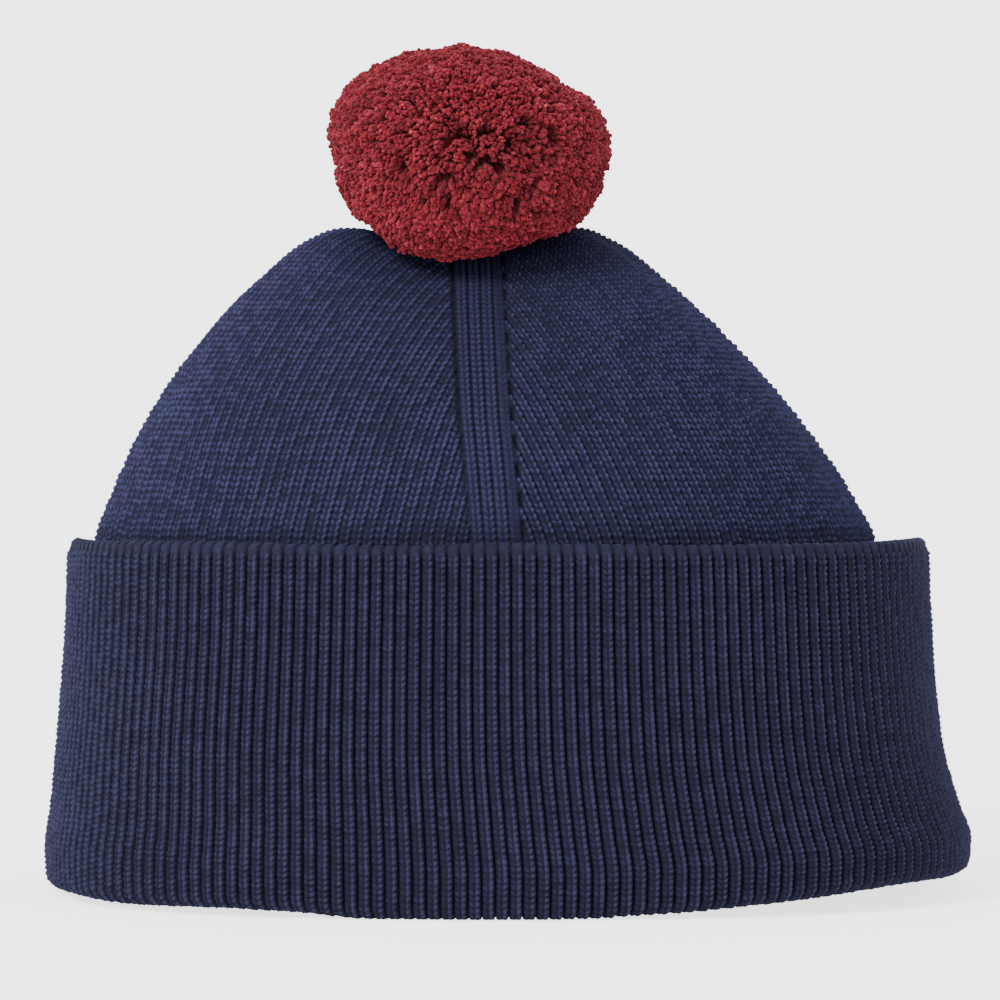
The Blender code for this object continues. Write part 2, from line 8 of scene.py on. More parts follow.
import bmesh
import bpy
import json
import math
import numpy as np
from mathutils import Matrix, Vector


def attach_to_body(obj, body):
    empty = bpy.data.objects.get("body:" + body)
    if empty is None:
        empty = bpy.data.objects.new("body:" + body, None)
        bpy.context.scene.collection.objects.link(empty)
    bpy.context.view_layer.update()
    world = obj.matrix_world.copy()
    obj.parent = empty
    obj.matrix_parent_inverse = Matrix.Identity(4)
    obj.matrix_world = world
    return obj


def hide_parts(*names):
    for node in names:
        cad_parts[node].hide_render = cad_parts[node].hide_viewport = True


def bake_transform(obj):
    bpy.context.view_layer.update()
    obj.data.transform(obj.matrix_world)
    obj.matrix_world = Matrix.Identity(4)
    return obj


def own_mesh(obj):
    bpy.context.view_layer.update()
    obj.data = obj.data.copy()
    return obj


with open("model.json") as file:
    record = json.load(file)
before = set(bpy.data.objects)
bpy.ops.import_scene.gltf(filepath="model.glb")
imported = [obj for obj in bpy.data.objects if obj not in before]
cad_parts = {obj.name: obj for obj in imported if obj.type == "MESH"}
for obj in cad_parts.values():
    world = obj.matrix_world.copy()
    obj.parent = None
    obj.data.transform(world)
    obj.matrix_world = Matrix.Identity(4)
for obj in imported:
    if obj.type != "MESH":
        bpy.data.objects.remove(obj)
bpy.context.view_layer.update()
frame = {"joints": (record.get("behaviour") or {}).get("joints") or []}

MM = 0.001

# ------------------------------------------------------------------ driving sizes
CUFF_HEIGHT = 88.0
KNIT_THICK = 3.6
SECTION_POWER = 2.5           # squareness of the cuff's plan outline; 2 is an ellipse
# height, half-width in x, half-depth in y, middle x
CUFF_STATIONS = np.array([
    (0.0, 114.2, 82.0, 0.3),
    (10.0, 114.5, 82.5, 0.4),
    (20.0, 112.4, 81.4, -0.4),
    (40.0, 109.1, 79.4, -1.9),
    (60.0, 107.4, 77.8, -2.2),
    (88.0, 106.1, 76.4, -2.2),
])
# height, half-width in x, half-depth in y, middle x, squareness
CROWN_STATIONS = np.array([
    (45.0, 98.8, 70.6, -4.6, 2.5),
    (68.0, 98.4, 70.6, -5.0, 2.5),
    (86.0, 96.6, 69.8, -5.6, 2.5),
    (100.0, 90.6, 66.2, -6.7, 2.48),
    (120.0, 78.7, 59.2, -8.6, 2.42),
    (140.0, 62.2, 49.0, -10.4, 2.3),
    (153.0, 49.0, 40.0, -11.4, 2.2),
    (163.0, 37.2, 29.6, -11.8, 2.1),
    (169.0, 25.0, 18.0, -11.2, 2.0),
    (171.0, 4.0, 4.0, -11.0, 2.0),
])
DENT_DEPTH, DENT_X, DENT_Y, DENT_MIDDLE_X = 13.5, 25.0, 31.0, -11.0   # hollow under the pom pom
RIGHT_LIFT, LEFT_LIFT, BACK_DROP = 7.2, 1.8, 3.0                      # how the rib strays in height
BAND_HALF_X, BAND_HALF_Y, BAND_X = 98.95, 70.8, -4.3                  # inner layer of the rib

RIBS = 200                    # ribs round the cuff
COURSE = 1.42                 # height of one course of the rib
WALES = 204                   # wales round the foot of the crown
CROWN_COURSE = 1.66
SEAM_STRAY = (1.7, 3.0)       # front seam's stray to +X, at the foot of the crown and near its top
SEAM_BAND = (2.5, 1.5)        # wales along the seam where a panel starts and where it ends


def joint_place(name):
    joint = next(j for j in frame["joints"] if j["name"] == name)
    return np.array(joint["pos_m"]) * 1000


TIE = joint_place("pompom_nod")
SWAY_PIVOT = joint_place("pompom_sway")
LABEL_TOP = joint_place("label_swing")
CORE = np.array([-9.0, -11.5, 182.8])     # middle of the pom pom
REACH = float(np.linalg.norm(CORE - TIE))
# directions at the tie: along it to the pom pom's middle, to the side, and across both
TIE_AXIS = (CORE - TIE) / np.linalg.norm(CORE - TIE)
TIE_SIDE = np.array([1.0, 0, 0]) - TIE_AXIS * TIE_AXIS[0]
TIE_SIDE /= np.linalg.norm(TIE_SIDE)
TIE_CROSS = np.cross(TIE_AXIS, TIE_SIDE)


# ------------------------------------------------------------------ curves and outlines
def smoothstep(start, end, x):
    t = np.clip((x - start) / (end - start), 0, 1)
    return t * t * (3 - 2 * t)


def lengths_along(points):
    steps = np.linalg.norm(np.diff(points, axis=0), axis=1)
    return np.concatenate([[0], np.cumsum(steps)])


def sample(values, run, places):
    """Columns of values, known at the lengths in run, read at places."""
    return np.stack([np.interp(places, run, column) for column in values.T], -1)


def track(stations, heights):
    """Station values at each height, on monotone cubic curves through the stations."""
    known = stations[:, 0]
    step = np.diff(known)
    cell = np.clip(np.searchsorted(known, heights) - 1, 0, len(step) - 1)
    t = (np.clip(heights, known[0], known[-1]) - known[cell]) / step[cell]
    out = []
    for column in stations[:, 1:].T:
        slope = np.diff(column) / step
        grade = np.zeros_like(column)
        for i in range(1, len(column) - 1):
            if slope[i - 1] * slope[i] > 0:
                before, after = 2 * step[i] + step[i - 1], step[i] + 2 * step[i - 1]
                grade[i] = (before + after) / (before / slope[i - 1] + after / slope[i])
        grade[0], grade[-1] = slope[0], slope[-1]
        out.append(
            (2 * t**3 - 3 * t**2 + 1) * column[cell]
            + (t**3 - 2 * t**2 + t) * step[cell] * grade[cell]
            + (-2 * t**3 + 3 * t**2) * column[cell + 1]
            + (t**3 - t**2) * step[cell] * grade[cell + 1]
        )
    return np.array(out).T


ROUND = np.linspace(0, 2 * math.pi, 1441)
ROUND_X, ROUND_Y = np.sin(ROUND), -np.cos(ROUND)


def outline(half_x, half_y, power, middle_x, share):
    """x and y at shares of a plan outline's length, and that length."""
    edge_x = half_x * np.sign(ROUND_X) * np.abs(ROUND_X) ** (2 / power)
    edge_y = half_y * np.sign(ROUND_Y) * np.abs(ROUND_Y) ** (2 / power)
    run = np.concatenate([[0], np.cumsum(np.hypot(np.diff(edge_x), np.diff(edge_y)))])
    places = (share % 1.0) * run[-1]
    return np.interp(places, run, edge_x) + middle_x, np.interp(places, run, edge_y), run[-1]


def dent(x, y):
    return DENT_DEPTH * np.exp(-(((x - DENT_MIDDLE_X) / DENT_X) ** 2) - (y / DENT_Y) ** 2)


def settle(x, y, z):
    """How far the rib strays in height: its foot lifts at both sides, its top is lower behind."""
    right = RIGHT_LIFT * np.clip((x - 20.0) / 82.0, 0.0, 1.0) ** 1.1
    right = right - 1.4 * smoothstep(90.0, 108.0, x)
    left = LEFT_LIFT * smoothstep(-28.0, -54.0, x)
    foot = np.clip(1 - z / 45.0, 0, 1) ** 2
    back = BACK_DROP * smoothstep(-30.0, 50.0, y) * np.clip((z - 20.0) / 68.0, 0.0, 1.0) ** 2
    return (right + left) * foot - back


def inside_crown(points, gap):
    """Which points lie under the crown's smooth outer face, raised by gap."""
    x, y, z = points[:, 0], points[:, 1], points[:, 2]
    flat = z + dent(x, y) - gap
    top = CROWN_STATIONS[-1, 0]
    half_x, half_y, middle_x, power = track(
        CROWN_STATIONS, np.clip(flat, CROWN_STATIONS[0, 0], top)).T
    reach_x = (np.abs(x - middle_x) / (half_x + gap)) ** power
    reach_y = (np.abs(y) / (half_y + gap)) ** power
    return (flat < top) & (reach_x + reach_y < 1)


def lattice_noise(x, y, seed, period=None):
    """Smooth value noise in -1..1 on a unit lattice, repeating in x after period cells."""
    table = np.random.default_rng(seed).uniform(-1, 1, (257, 257))
    x0, y0 = np.floor(x).astype(int), np.floor(y).astype(int)
    fx, fy = x - x0, y - y0
    fx, fy = fx * fx * (3 - 2 * fx), fy * fy * (3 - 2 * fy)
    x1, y1 = x0 + 1, y0 + 1
    if period:
        x0, x1 = x0 % period, x1 % period
    x0, x1, y0, y1 = x0 % 257, x1 % 257, y0 % 257, y1 % 257
    low = table[x0, y0] * (1 - fx) + table[x1, y0] * fx
    high = table[x0, y1] * (1 - fx) + table[x1, y1] * fx
    return low * (1 - fy) + high * fy


# ------------------------------------------------------------------ mesh building
FLIP = [0, 3, 2, 1]           # turns a quad over and keeps its first corner


def place_mesh(name, mesh, material, crease=None):
    """Smooth object of a mesh; crease is a painted shade tone per vertex, dark to light: dark where
    shade falls in grooves and gaps, light on raised tops.
    """
    if crease is not None:
        attribute = mesh.attributes.new("crease", "FLOAT", "POINT")
        attribute.data.foreach_set("value", np.asarray(crease, np.float32))
    mesh.materials.append(material)
    mesh.polygons.foreach_set("use_smooth", np.ones(len(mesh.polygons), bool))
    mesh.update()
    obj = bpy.data.objects.new(name, mesh)
    bpy.context.scene.collection.objects.link(obj)
    return obj


def mesh_object(name, vertices, faces, material, crease):
    """faces is an (n, 4) array in which a triangle repeats its last index."""
    triangle = faces[:, 2] == faces[:, 3]
    quads, triangles = faces[~triangle], faces[triangle][:, :3]
    loops = np.concatenate([quads.ravel(), triangles.ravel()]).astype(np.int32)
    totals = np.concatenate([np.full(len(quads), 4), np.full(len(triangles), 3)])
    starts = np.concatenate([[0], np.cumsum(totals)[:-1]]).astype(np.int32)
    mesh = bpy.data.meshes.new(name)
    mesh.vertices.add(len(vertices))
    mesh.vertices.foreach_set("co", (vertices * MM).astype(np.float32).ravel())
    mesh.loops.add(len(loops))
    mesh.loops.foreach_set("vertex_index", loops)
    mesh.polygons.add(len(totals))
    mesh.polygons.foreach_set("loop_start", starts)
    mesh.update(calc_edges=True)
    mesh.validate()
    return place_mesh(name, mesh, material, crease)


def grid_quads(ids, join_rows=False, join_columns=False):
    """Quads over a grid of vertex ids, joined last to first if asked."""
    if join_rows:
        ids = np.vstack([ids, ids[:1]])
    if join_columns:
        ids = np.hstack([ids, ids[:, :1]])
    corners = ids[:-1, :-1], ids[:-1, 1:], ids[1:, 1:], ids[1:, :-1]
    return np.stack([corner.ravel() for corner in corners], -1)


def ring_pieces(names, points, crease, step, material, rows_up):
    """Cuts a closed ring of points [row, column] into capped pieces of step columns each."""
    rows, columns = points.shape[:2]
    pieces = []
    for number, name in enumerate(names):
        first = number * step
        chosen = np.arange(first, min(first + step, columns) + 1) % columns
        part = points[:, chosen]
        width = len(chosen)
        ids = np.arange(rows * width).reshape(rows, width)
        quads = grid_quads(ids, join_rows=True)
        faces = [quads if rows_up else quads[:, FLIP]]
        # each cut end is a fan round the middle of the section
        for end, (column, forward) in enumerate(((0, rows_up), (-1, not rows_up))):
            rim, following = ids[:, column], np.roll(ids[:, column], -1)
            if not forward:
                rim, following = following, rim
            middle = np.full(rows, rows * width + end)
            faces.append(np.stack([middle, rim, following, following], -1))
        vertices = np.vstack([part.reshape(-1, 3), part[:, 0].mean(0), part[:, -1].mean(0)])
        # the middles of the cut ends get a dark painted shade tone
        tones = np.concatenate([crease[:, chosen].reshape(-1), [0.2, 0.2]])
        pieces.append(mesh_object(name, vertices, np.vstack(faces), material, tones))
    return pieces


def frame_along(path, closed):
    """Side and up directions carried along a path, and the twist that closes a loop of them."""
    if closed:
        tangent = np.roll(path, -1, 0) - np.roll(path, 1, 0)
    else:
        tangent = np.gradient(path, axis=0)
    tangent /= np.linalg.norm(tangent, axis=1, keepdims=True)

    def squared(vector, t):
        vector = vector - t * vector.dot(t)
        return vector / np.linalg.norm(vector)

    side = np.zeros_like(path)
    guide = (0.0, 0.0, 1.0) if abs(tangent[0, 2]) < 0.9 else (1.0, 0.0, 0.0)
    side[0] = squared(np.array(guide), tangent[0])
    for i in range(1, len(path)):
        side[i] = squared(side[i - 1], tangent[i])
    twist = 0.0
    if closed:
        last = squared(side[-1], tangent[0])
        twist = math.atan2(tangent[0].dot(np.cross(last, side[0])), last.dot(side[0]))
    return side, np.cross(tangent, side), twist


def tube_mesh(path, radius, sides, closed):
    """Vertices and faces of a round tube; open ends are capped by fans."""
    count = len(path)
    side, up, twist = frame_along(path, closed)
    angle = 2 * math.pi * np.arange(sides) / sides + (twist * np.arange(count) / count)[:, None]
    across = side[:, None] * np.cos(angle)[..., None] + up[:, None] * np.sin(angle)[..., None]
    vertices = (path[:, None] + across * radius).reshape(-1, 3)
    ids = np.arange(count * sides).reshape(count, sides)
    faces = grid_quads(ids, join_rows=closed, join_columns=True)
    if not closed:
        vertices = np.vstack([vertices, path[0], path[-1]])
        middle = np.full(sides, count * sides)
        near, far = ids[0], np.roll(ids[0], -1)
        start = np.stack([middle, far, near, near], -1)
        near, far = ids[-1], np.roll(ids[-1], -1)
        end = np.stack([middle + 1, near, far, far], -1)
        faces = np.vstack([faces, start, end])
    return vertices, faces


def merge(parts):
    """One (vertices, faces) of several."""
    offsets = np.cumsum([0] + [len(vertices) for vertices, _ in parts])
    faces = [faces + offset for (_, faces), offset in zip(parts, offsets)]
    return np.vstack([vertices for vertices, _ in parts]), np.vstack(faces)


def plied(path, radius, lay, plies=3, sides=6, closed=False):
    """Vertices, faces and painted shade tones of a yarn whose plies wind about each other once
    every lay.
    """
    path = np.asarray(path, float)
    if closed:
        path = np.vstack([path, path[:1]])
    run = lengths_along(path)
    places = np.linspace(0, run[-1], max(12, int(run[-1] / (lay / 9))) + 1)
    core = sample(path, run, places)
    for _ in range(2):
        core[1:-1] = (core[:-2] + 2 * core[1:-1] + core[2:]) / 4
    if closed:
        core, places = core[:-1], places[:-1]
    side, up, twist = frame_along(core, closed)
    turns = max(1, round(run[-1] / lay))
    ply_radius = radius * (0.54 if plies == 2 else 0.50)
    parts, tones = [], []
    for k in range(plies):
        angle = 2 * math.pi * (turns * places / run[-1] + k / plies) + twist * places / run[-1]
        swing = side * np.cos(angle)[:, None] + up * np.sin(angle)[:, None]
        vertices, faces = tube_mesh(
            core + swing * (radius - ply_radius), ply_radius, sides, closed)
        parts.append((vertices, faces))
        # painted shade: dark between the plies
        body = vertices[: len(core) * sides].reshape(len(core), sides, 3)
        out = np.linalg.norm(body - core[:, None], axis=2) / radius
        tones += [(0.15 + 0.85 * smoothstep(0.25, 0.95, out)).ravel() * 0.8]
        tones += [np.full(len(vertices) - out.size, 0.5)]
    return *merge(parts), np.concatenate(tones)


def yarn_object(name, strands, material):
    """One object of several yarns from plied."""
    vertices, faces = merge([strand[:2] for strand in strands])
    tones = np.concatenate([strand[2] for strand in strands])
    return mesh_object(name, vertices, faces, material, tones)


# ------------------------------------------------------------------ ties to the frame
def attach(pieces, replaces, rides=None):
    for piece in pieces:
        if rides:
            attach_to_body(piece, rides)
    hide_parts(replaces)


def squash_with_cuff(piece):
    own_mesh(piece)


def blend_cuff_to_crown(piece):
    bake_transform(piece)


# ------------------------------------------------------------------ material tools
def new_material(name):
    material = bpy.data.materials.new(name)
    material.use_nodes = True
    tree = material.node_tree
    tree.nodes.clear()
    output = tree.nodes.new("ShaderNodeOutputMaterial")
    shader = tree.nodes.new("ShaderNodeBsdfPrincipled")
    tree.links.new(shader.outputs[0], output.inputs[0])
    return material, tree, shader


def set_inputs(node, values):
    for key, value in values.items():
        node.inputs[key].default_value = value


def rgb(*display):
    """Linear colour from 0-255 display values."""
    shares = [value / 255 for value in display]
    return (*[c / 12.92 if c <= 0.04045 else ((c + 0.055) / 1.055) ** 2.4 for c in shares], 1.0)


def object_coords(tree):
    return tree.nodes.new("ShaderNodeTexCoord").outputs["Object"]


def shade_tone_value(tree):
    # reads the per-vertex painted shade tone
    node = tree.nodes.new("ShaderNodeAttribute")
    node.attribute_name = "crease"
    return node.outputs["Fac"]


def ramp(tree, source, stops):
    node = tree.nodes.new("ShaderNodeValToRGB")
    elements = node.color_ramp.elements
    elements[0].position, elements[0].color = stops[0]
    elements[1].position, elements[1].color = stops[-1]
    for position, colour in stops[1:-1]:
        elements.new(position).color = colour
    tree.links.new(source, node.inputs[0])
    return node.outputs[0]


def noise(tree, vector, scale, roughness, detail=2.0):
    node = tree.nodes.new("ShaderNodeTexNoise")
    set_inputs(node, {"Scale": scale, "Detail": detail, "Roughness": roughness})
    tree.links.new(vector, node.inputs["Vector"])
    return node.outputs["Fac"]


def math_node(tree, operation, first, second, clamp=False):
    """second is a number or a socket."""
    node = tree.nodes.new("ShaderNodeMath")
    node.operation = operation
    node.use_clamp = clamp
    tree.links.new(first, node.inputs[0])
    if isinstance(second, float):
        node.inputs[1].default_value = second
    else:
        tree.links.new(second, node.inputs[1])
    return node.outputs[0]


def weighted_sum(tree, *terms, clamp=False):
    """Sum of (socket, weight) terms; clamp limits the whole to 0..1."""
    parts = [math_node(tree, "MULTIPLY", socket, weight) for socket, weight in terms]
    total = parts[0]
    for number, part in enumerate(parts[1:], 2):
        total = math_node(tree, "ADD", total, part, clamp and number == len(parts))
    return total


def add_bump(tree, shader, height, strength, distance):
    node = tree.nodes.new("ShaderNodeBump")
    set_inputs(node, {"Strength": strength, "Distance": distance})
    tree.links.new(height, node.inputs["Height"])
    tree.links.new(node.outputs[0], shader.inputs["Normal"])


def camera_boost(tree, boost, base):
    """A strength of base, with boost added where the camera looks straight at it."""
    seen = tree.nodes.new("ShaderNodeLightPath").outputs["Is Camera Ray"]
    return math_node(tree, "ADD", math_node(tree, "MULTIPLY", seen, boost), base)


# ------------------------------------------------------------------ materials
def wool(name, dark, mid, light, sheen, fibre_scale=2600.0, sheen_weight=0.10):
    """Wool knit: heathered colour with painted shade, darker in the creases and lighter on the
    stitch tops, with fibre bump and a sheen of fuzz.
    """
    material, tree, shader = new_material(name)
    coords = object_coords(tree)
    crease = shade_tone_value(tree)
    fibre = noise(tree, coords, scale=fibre_scale, roughness=0.7)
    heather = noise(tree, coords, scale=700.0, roughness=0.6)
    patch = noise(tree, coords, scale=38.0, roughness=0.5)
    value = weighted_sum(tree, (fibre, 0.46), (heather, 0.30), (patch, 0.12))
    value = math_node(tree, "ADD", value, -0.44)     # brings the noise back round zero
    # painted shade: the per-vertex tone darkens the colour in the grooves and lightens the stitch
    # tops
    relief = math_node(tree, "MULTIPLY", crease, 0.80)
    value = math_node(tree, "ADD", value, relief, clamp=True)
    colour = ramp(tree, value, [(0.0, dark), (0.45, mid), (1.0, light)])
    tree.links.new(colour, shader.inputs["Base Color"])
    set_inputs(shader, {
        "Roughness": 0.78,
        "Specular IOR Level": 0.17,
        "Sheen Weight": sheen_weight,
        "Sheen Roughness": 0.5,
        "Sheen Tint": sheen,
    })
    fine = noise(tree, coords, scale=fibre_scale * 1.7, roughness=0.7)
    height = weighted_sum(tree, (fine, 0.6), (heather, 0.8))
    add_bump(tree, shader, height, strength=0.3, distance=0.00025)
    return material


def pile_material():
    """Cut pile: wool tones with painted shade, darker between the strands and towards their roots,
    with light scattered under the surface.
    """
    material, tree, shader = new_material("burgundy_pile")
    coords = object_coords(tree)
    crease = shade_tone_value(tree)
    fibre = noise(tree, coords, scale=3200.0, roughness=0.7)
    speck = noise(tree, coords, scale=900.0, roughness=0.6)
    # painted shade: the per-vertex tone darkens the colour between strands and in the partings
    value = weighted_sum(tree, (crease, 0.66), (fibre, 0.44), (speck, 0.40))
    value = math_node(tree, "ADD", value, -0.34, clamp=True)   # brings the noise round zero
    colour = ramp(tree, value, [
        (0.0, rgb(40, 5, 9)),
        (0.34, rgb(100, 18, 27)),
        (0.68, rgb(147, 40, 53)),
        (1.0, rgb(212, 104, 120)),
    ])
    tree.links.new(colour, shader.inputs["Base Color"])
    set_inputs(shader, {
        "Roughness": 0.9,
        "Specular IOR Level": 0.15,
        "Subsurface Weight": 0.35,
        "Subsurface Radius": (1.0, 0.35, 0.30),
        "Subsurface Scale": 0.0009,
        "Sheen Weight": 0.33,
        "Sheen Roughness": 0.45,
        "Sheen Tint": rgb(240, 150, 165),
    })
    height = noise(tree, coords, scale=4200.0, roughness=0.7)
    add_bump(tree, shader, height, strength=0.4, distance=0.0002)
    return material


def label_material():
    """Woven satin: fine warp ribs crossed by the weft, matt off-white."""
    material, tree, shader = new_material("label_satin")
    coords = object_coords(tree)
    threads = []
    for direction, scale in (("Z", 900.0), ("X", 620.0)):      # weft, warp
        wave = tree.nodes.new("ShaderNodeTexWave")
        wave.bands_direction = direction
        set_inputs(wave, {"Scale": scale, "Distortion": 0.6})
        tree.links.new(coords, wave.inputs["Vector"])
        threads.append((wave.outputs["Fac"], 0.5))
    weave = weighted_sum(tree, *threads)
    grime = noise(tree, coords, scale=120.0, roughness=0.6, detail=3.0)
    tone = weighted_sum(tree, (weave, 0.6), (grime, 0.5), clamp=True)
    colour = ramp(tree, tone, [
        (0.0, rgb(176, 174, 166)),
        (0.5, rgb(222, 220, 212)),
        (1.0, rgb(244, 243, 238)),
    ])
    tree.links.new(colour, shader.inputs["Base Color"])
    set_inputs(shader, {"Roughness": 0.55, "Sheen Weight": 0.2})
    add_bump(tree, shader, weave, strength=0.5, distance=0.0001)
    return material


def floor_material():
    """White floor that looks brighter to the camera than the light it gives."""
    material, tree, shader = new_material("floor")
    set_inputs(shader, {
        "Base Color": (0.92, 0.92, 0.92, 1),
        "Roughness": 0.9,
        "Emission Color": (1.0, 1.0, 1.0, 1),
    })
    glow = camera_boost(tree, boost=1.9, base=0.25)
    tree.links.new(glow, shader.inputs["Emission Strength"])
    return material


NAVY = wool(
    "navy_rib_wool", dark=rgb(5, 5, 13), mid=rgb(24, 23, 46), light=rgb(58, 57, 88),
    sheen=rgb(118, 128, 190))
NAVY_CROWN = wool(
    "navy_crown_wool", dark=rgb(5, 5, 13), mid=rgb(24, 24, 50), light=rgb(63, 62, 101),
    sheen=rgb(118, 128, 195))
NAVY_IN = wool(
    "navy_inside_wool", dark=rgb(4, 4, 11), mid=rgb(21, 21, 40), light=rgb(50, 50, 80),
    sheen=rgb(120, 130, 185))


# ------------------------------------------------------------------ knit relief
# slant: rise of the legs in courses; leg: their distance from the wale's middle; width: their
# half-width, both in wales; ridge: how deep the yarns of the courses are cut
CUFF_STITCH = dict(slant=-0.60, leg=0.235, width=0.255, ridge=0.80)
BAND_STITCH = dict(slant=0.6, leg=0.235, width=0.262, ridge=0.6)
CROWN_STITCH = dict(slant=0.58, leg=0.25, width=0.262, ridge=0.78)
# sample places across one wale, with one on each crease
COARSE_WALE = (0.0, 0.13, 0.30, 0.5, 0.70, 0.87)
FINE_WALE = (0.0, 0.085, 0.20, 0.35, 0.5, 0.65, 0.80, 0.915)


def knit(wales, courses, slant, leg, width, ridge):
    """Relief of plain knit, 0..1: two rounded legs a wale, cut by each course's slanting yarn."""
    off = np.abs(wales - np.floor(wales) - 0.5)
    across = np.clip(1 - ((off - leg) / width) ** 2, 0, 1) ** 0.6
    across = np.where(off < leg, np.maximum(across, 0.42), across)
    place = courses - slant * off * 2
    from_middle = place - np.floor(place) - 0.5
    along = np.clip(1 - (1.96 * from_middle) ** 2, 0, 1) ** 0.8
    return across * ((1 - ridge) + ridge * along)


def wale_places(first, end, places):
    return (np.arange(first, end)[:, None] + np.array(places)[None, :]).ravel()


def half_round(off, radius):
    """Height of a half circle, 1 at the middle and 0 at radius."""
    return np.sqrt(np.clip(1 - (off / radius) ** 2, 0, 1))


# ------------------------------------------------------------------ the cuff
def cuff_profile():
    """Outer and inner walks of the cuff's section, as height and inset from the outer face.

    The third value is the outer walk's row at the foot of the fold.
    """
    top, thick = CUFF_HEIGHT, KNIT_THICK
    edge_round, fold_round, fold_inset = 1.7, 3.3, 3.2
    outer = [(top, thick / 2)]
    for q in np.linspace(0.0, math.pi / 2, 7)[1:]:
        height = top - edge_round + edge_round * math.cos(q)
        outer.append((height, thick / 2 * (1 - math.sin(q))))
    outer += [(z, 0.0) for z in np.linspace(top - 2.6, fold_round, 40)]
    for q in np.linspace(0, math.pi / 2, 10)[1:]:
        outer.append((fold_round - fold_round * math.sin(q), fold_inset * (1 - math.cos(q))))
    foot = len(outer)
    outer += [(0.0, 6.0), (0.9, 8.6), (3.4, 11.8), (7.2, 13.6), (11.8, 14.4)]
    inner = [
        (11.8, 14.4), (12.6, 13.2), (11.2, 11.9), (8.0, 8.6), (7.2, 6.2), (9.5, 4.4),
        (16.0, thick), (30.0, thick), (50.0, thick), (70.0, thick),
        (top - edge_round, thick), (top - 0.5, thick - 0.55), (top, thick / 2),
    ]
    return np.array(outer), np.array(inner), foot


def cuff_base(section, inward, share):
    """Points and unit normals of the smooth cuff."""
    base = np.zeros((len(section), len(share), 3))
    stations = track(CUFF_STATIONS, section[:, 0])
    for i, (z, inset) in enumerate(section):
        half_x, half_y, middle_x = stations[i]
        # beyond the fold it closes in on the inner layer, narrower and set to one side
        half_x = half_x - 3.4 * inward[i]
        middle_x = middle_x * (1 - inward[i]) - 4.25 * inward[i]
        x, y, _ = outline(half_x - inset, half_y - inset, SECTION_POWER, middle_x, share)
        base[i] = np.stack([x, y, z + settle(x, y, z)], -1)
    looped = np.concatenate([base[-1:], base, base[:1]], 0)
    across = np.roll(looped, -1, 1) - np.roll(looped, 1, 1)
    normals = np.cross(np.gradient(looped, axis=0), across)[1:-1]
    return base, normals / np.maximum(np.linalg.norm(normals, axis=2, keepdims=True), 1e-9)


def build_cuff():
    outer, inner, foot = cuff_profile()
    run, inner_run = lengths_along(outer), lengths_along(inner)
    end, bend = run[-1], run[foot]
    out_at = np.linspace(0, end, int(end / COURSE * (4)))
    in_at = np.linspace(0, inner_run[-1], 44)[1:-1]
    section = np.vstack([sample(outer, run, out_at), sample(inner, inner_run, in_at)])
    inward = np.concatenate(
        [smoothstep(bend, end - 1.5, out_at), 1 - smoothstep(0.0, 9.0, in_at)])
    along = np.concatenate([out_at, end + in_at])[:, None]
    wale = FINE_WALE
    places = wale_places(0, RIBS, wale)
    share = places / RIBS
    base, normals = cuff_base(section, inward, share)

    # each rib wanders a little and its stitches differ in size
    rib = np.floor(places)[None, :]
    off = places[None, :] - rib - 0.5
    side = np.abs(off)
    courses = along / COURSE + 0.30 * lattice_noise(rib, along / 14.0, 12, RIBS)
    stitch = knit(places[None, :], courses, **CUFF_STITCH)
    stitch_size = 1 + 0.22 * lattice_noise(rib, courses, 13, RIBS) + np.where(off > 0, 0.16, -0.16)
    round_rib = half_round(side, 0.505)
    # the grooves run out at the top edge, which is a smooth tube
    fade = smoothstep(3.0, 4.9, along)
    rib_height = 1.45 * round_rib * fade + 0.80 * (1 - fade) * (0.45 + 0.75 * round_rib)
    # stretched round the fold the ribs are flatter
    on_fold = smoothstep(bend - 9.0, bend - 3.5, along)
    rib_height = rib_height * (1 - 0.50 * on_fold) + 0.55 * on_fold
    stitch_height = 1.05 * (stitch * stitch_size - 0.5) * (0.25 + 0.75 * fade)
    stitch_height = stitch_height * (1 - 0.45 * on_fold)
    waves = 0.35 * lattice_noise(share[None, :] * 26, along / 23.0, 14, 26)
    end_fade = 1 - smoothstep(end - 4.0, end, along)
    outer_height = rib_height * (0.3 + 0.7 * end_fade) - 1.15 + stitch_height + waves
    # the inner face bulges where the outer has its grooves
    round_in = half_round(0.5 - side, 0.52)
    inner_fade = np.minimum(
        smoothstep(end, end + 6, along), 1 - smoothstep(along[-1] - 4, along[-1], along))
    inner_height = (0.9 * round_in - 0.8) * inner_fade - 0.2
    is_outer = (np.arange(len(section)) < len(out_at))[:, None]
    points = base + normals * np.where(is_outer, outer_height, inner_height)[..., None]
    points[..., 2] = np.maximum(points[..., 2], 0.02)

    # painted shade: dark in the grooves between ribs and between stitches, light on their tops; the
    # right legs are also kept lighter than the left, the top edge's band and the inner face get a
    # smoother tone, then a small random change in tone
    crease = np.clip(round_rib**0.8 * (0.12 + 0.88 * stitch * stitch_size), 0, 1)
    crease = crease * np.where(off > 0, 1.10, 0.80) * fade
    crease = crease + 0.58 * (1 - fade) * (0.40 + 0.60 * round_rib)
    crease = np.where(is_outer, crease, 0.35 * round_in)
    crease = np.clip(crease * (1 + 0.16 * lattice_noise(rib, courses, 15, RIBS)), 0, 1)

    names = ["front_right", "right", "back_right", "back_left", "left", "front_left"]
    step = math.ceil(RIBS / len(names)) * len(wale)
    names = ["cuff_" + name for name in names]
    pieces = ring_pieces(names, points, crease, step, NAVY, rows_up=False)
    for piece in pieces:
        squash_with_cuff(piece)
    attach(pieces, "rib_cuff", rides="cuff")


build_cuff()


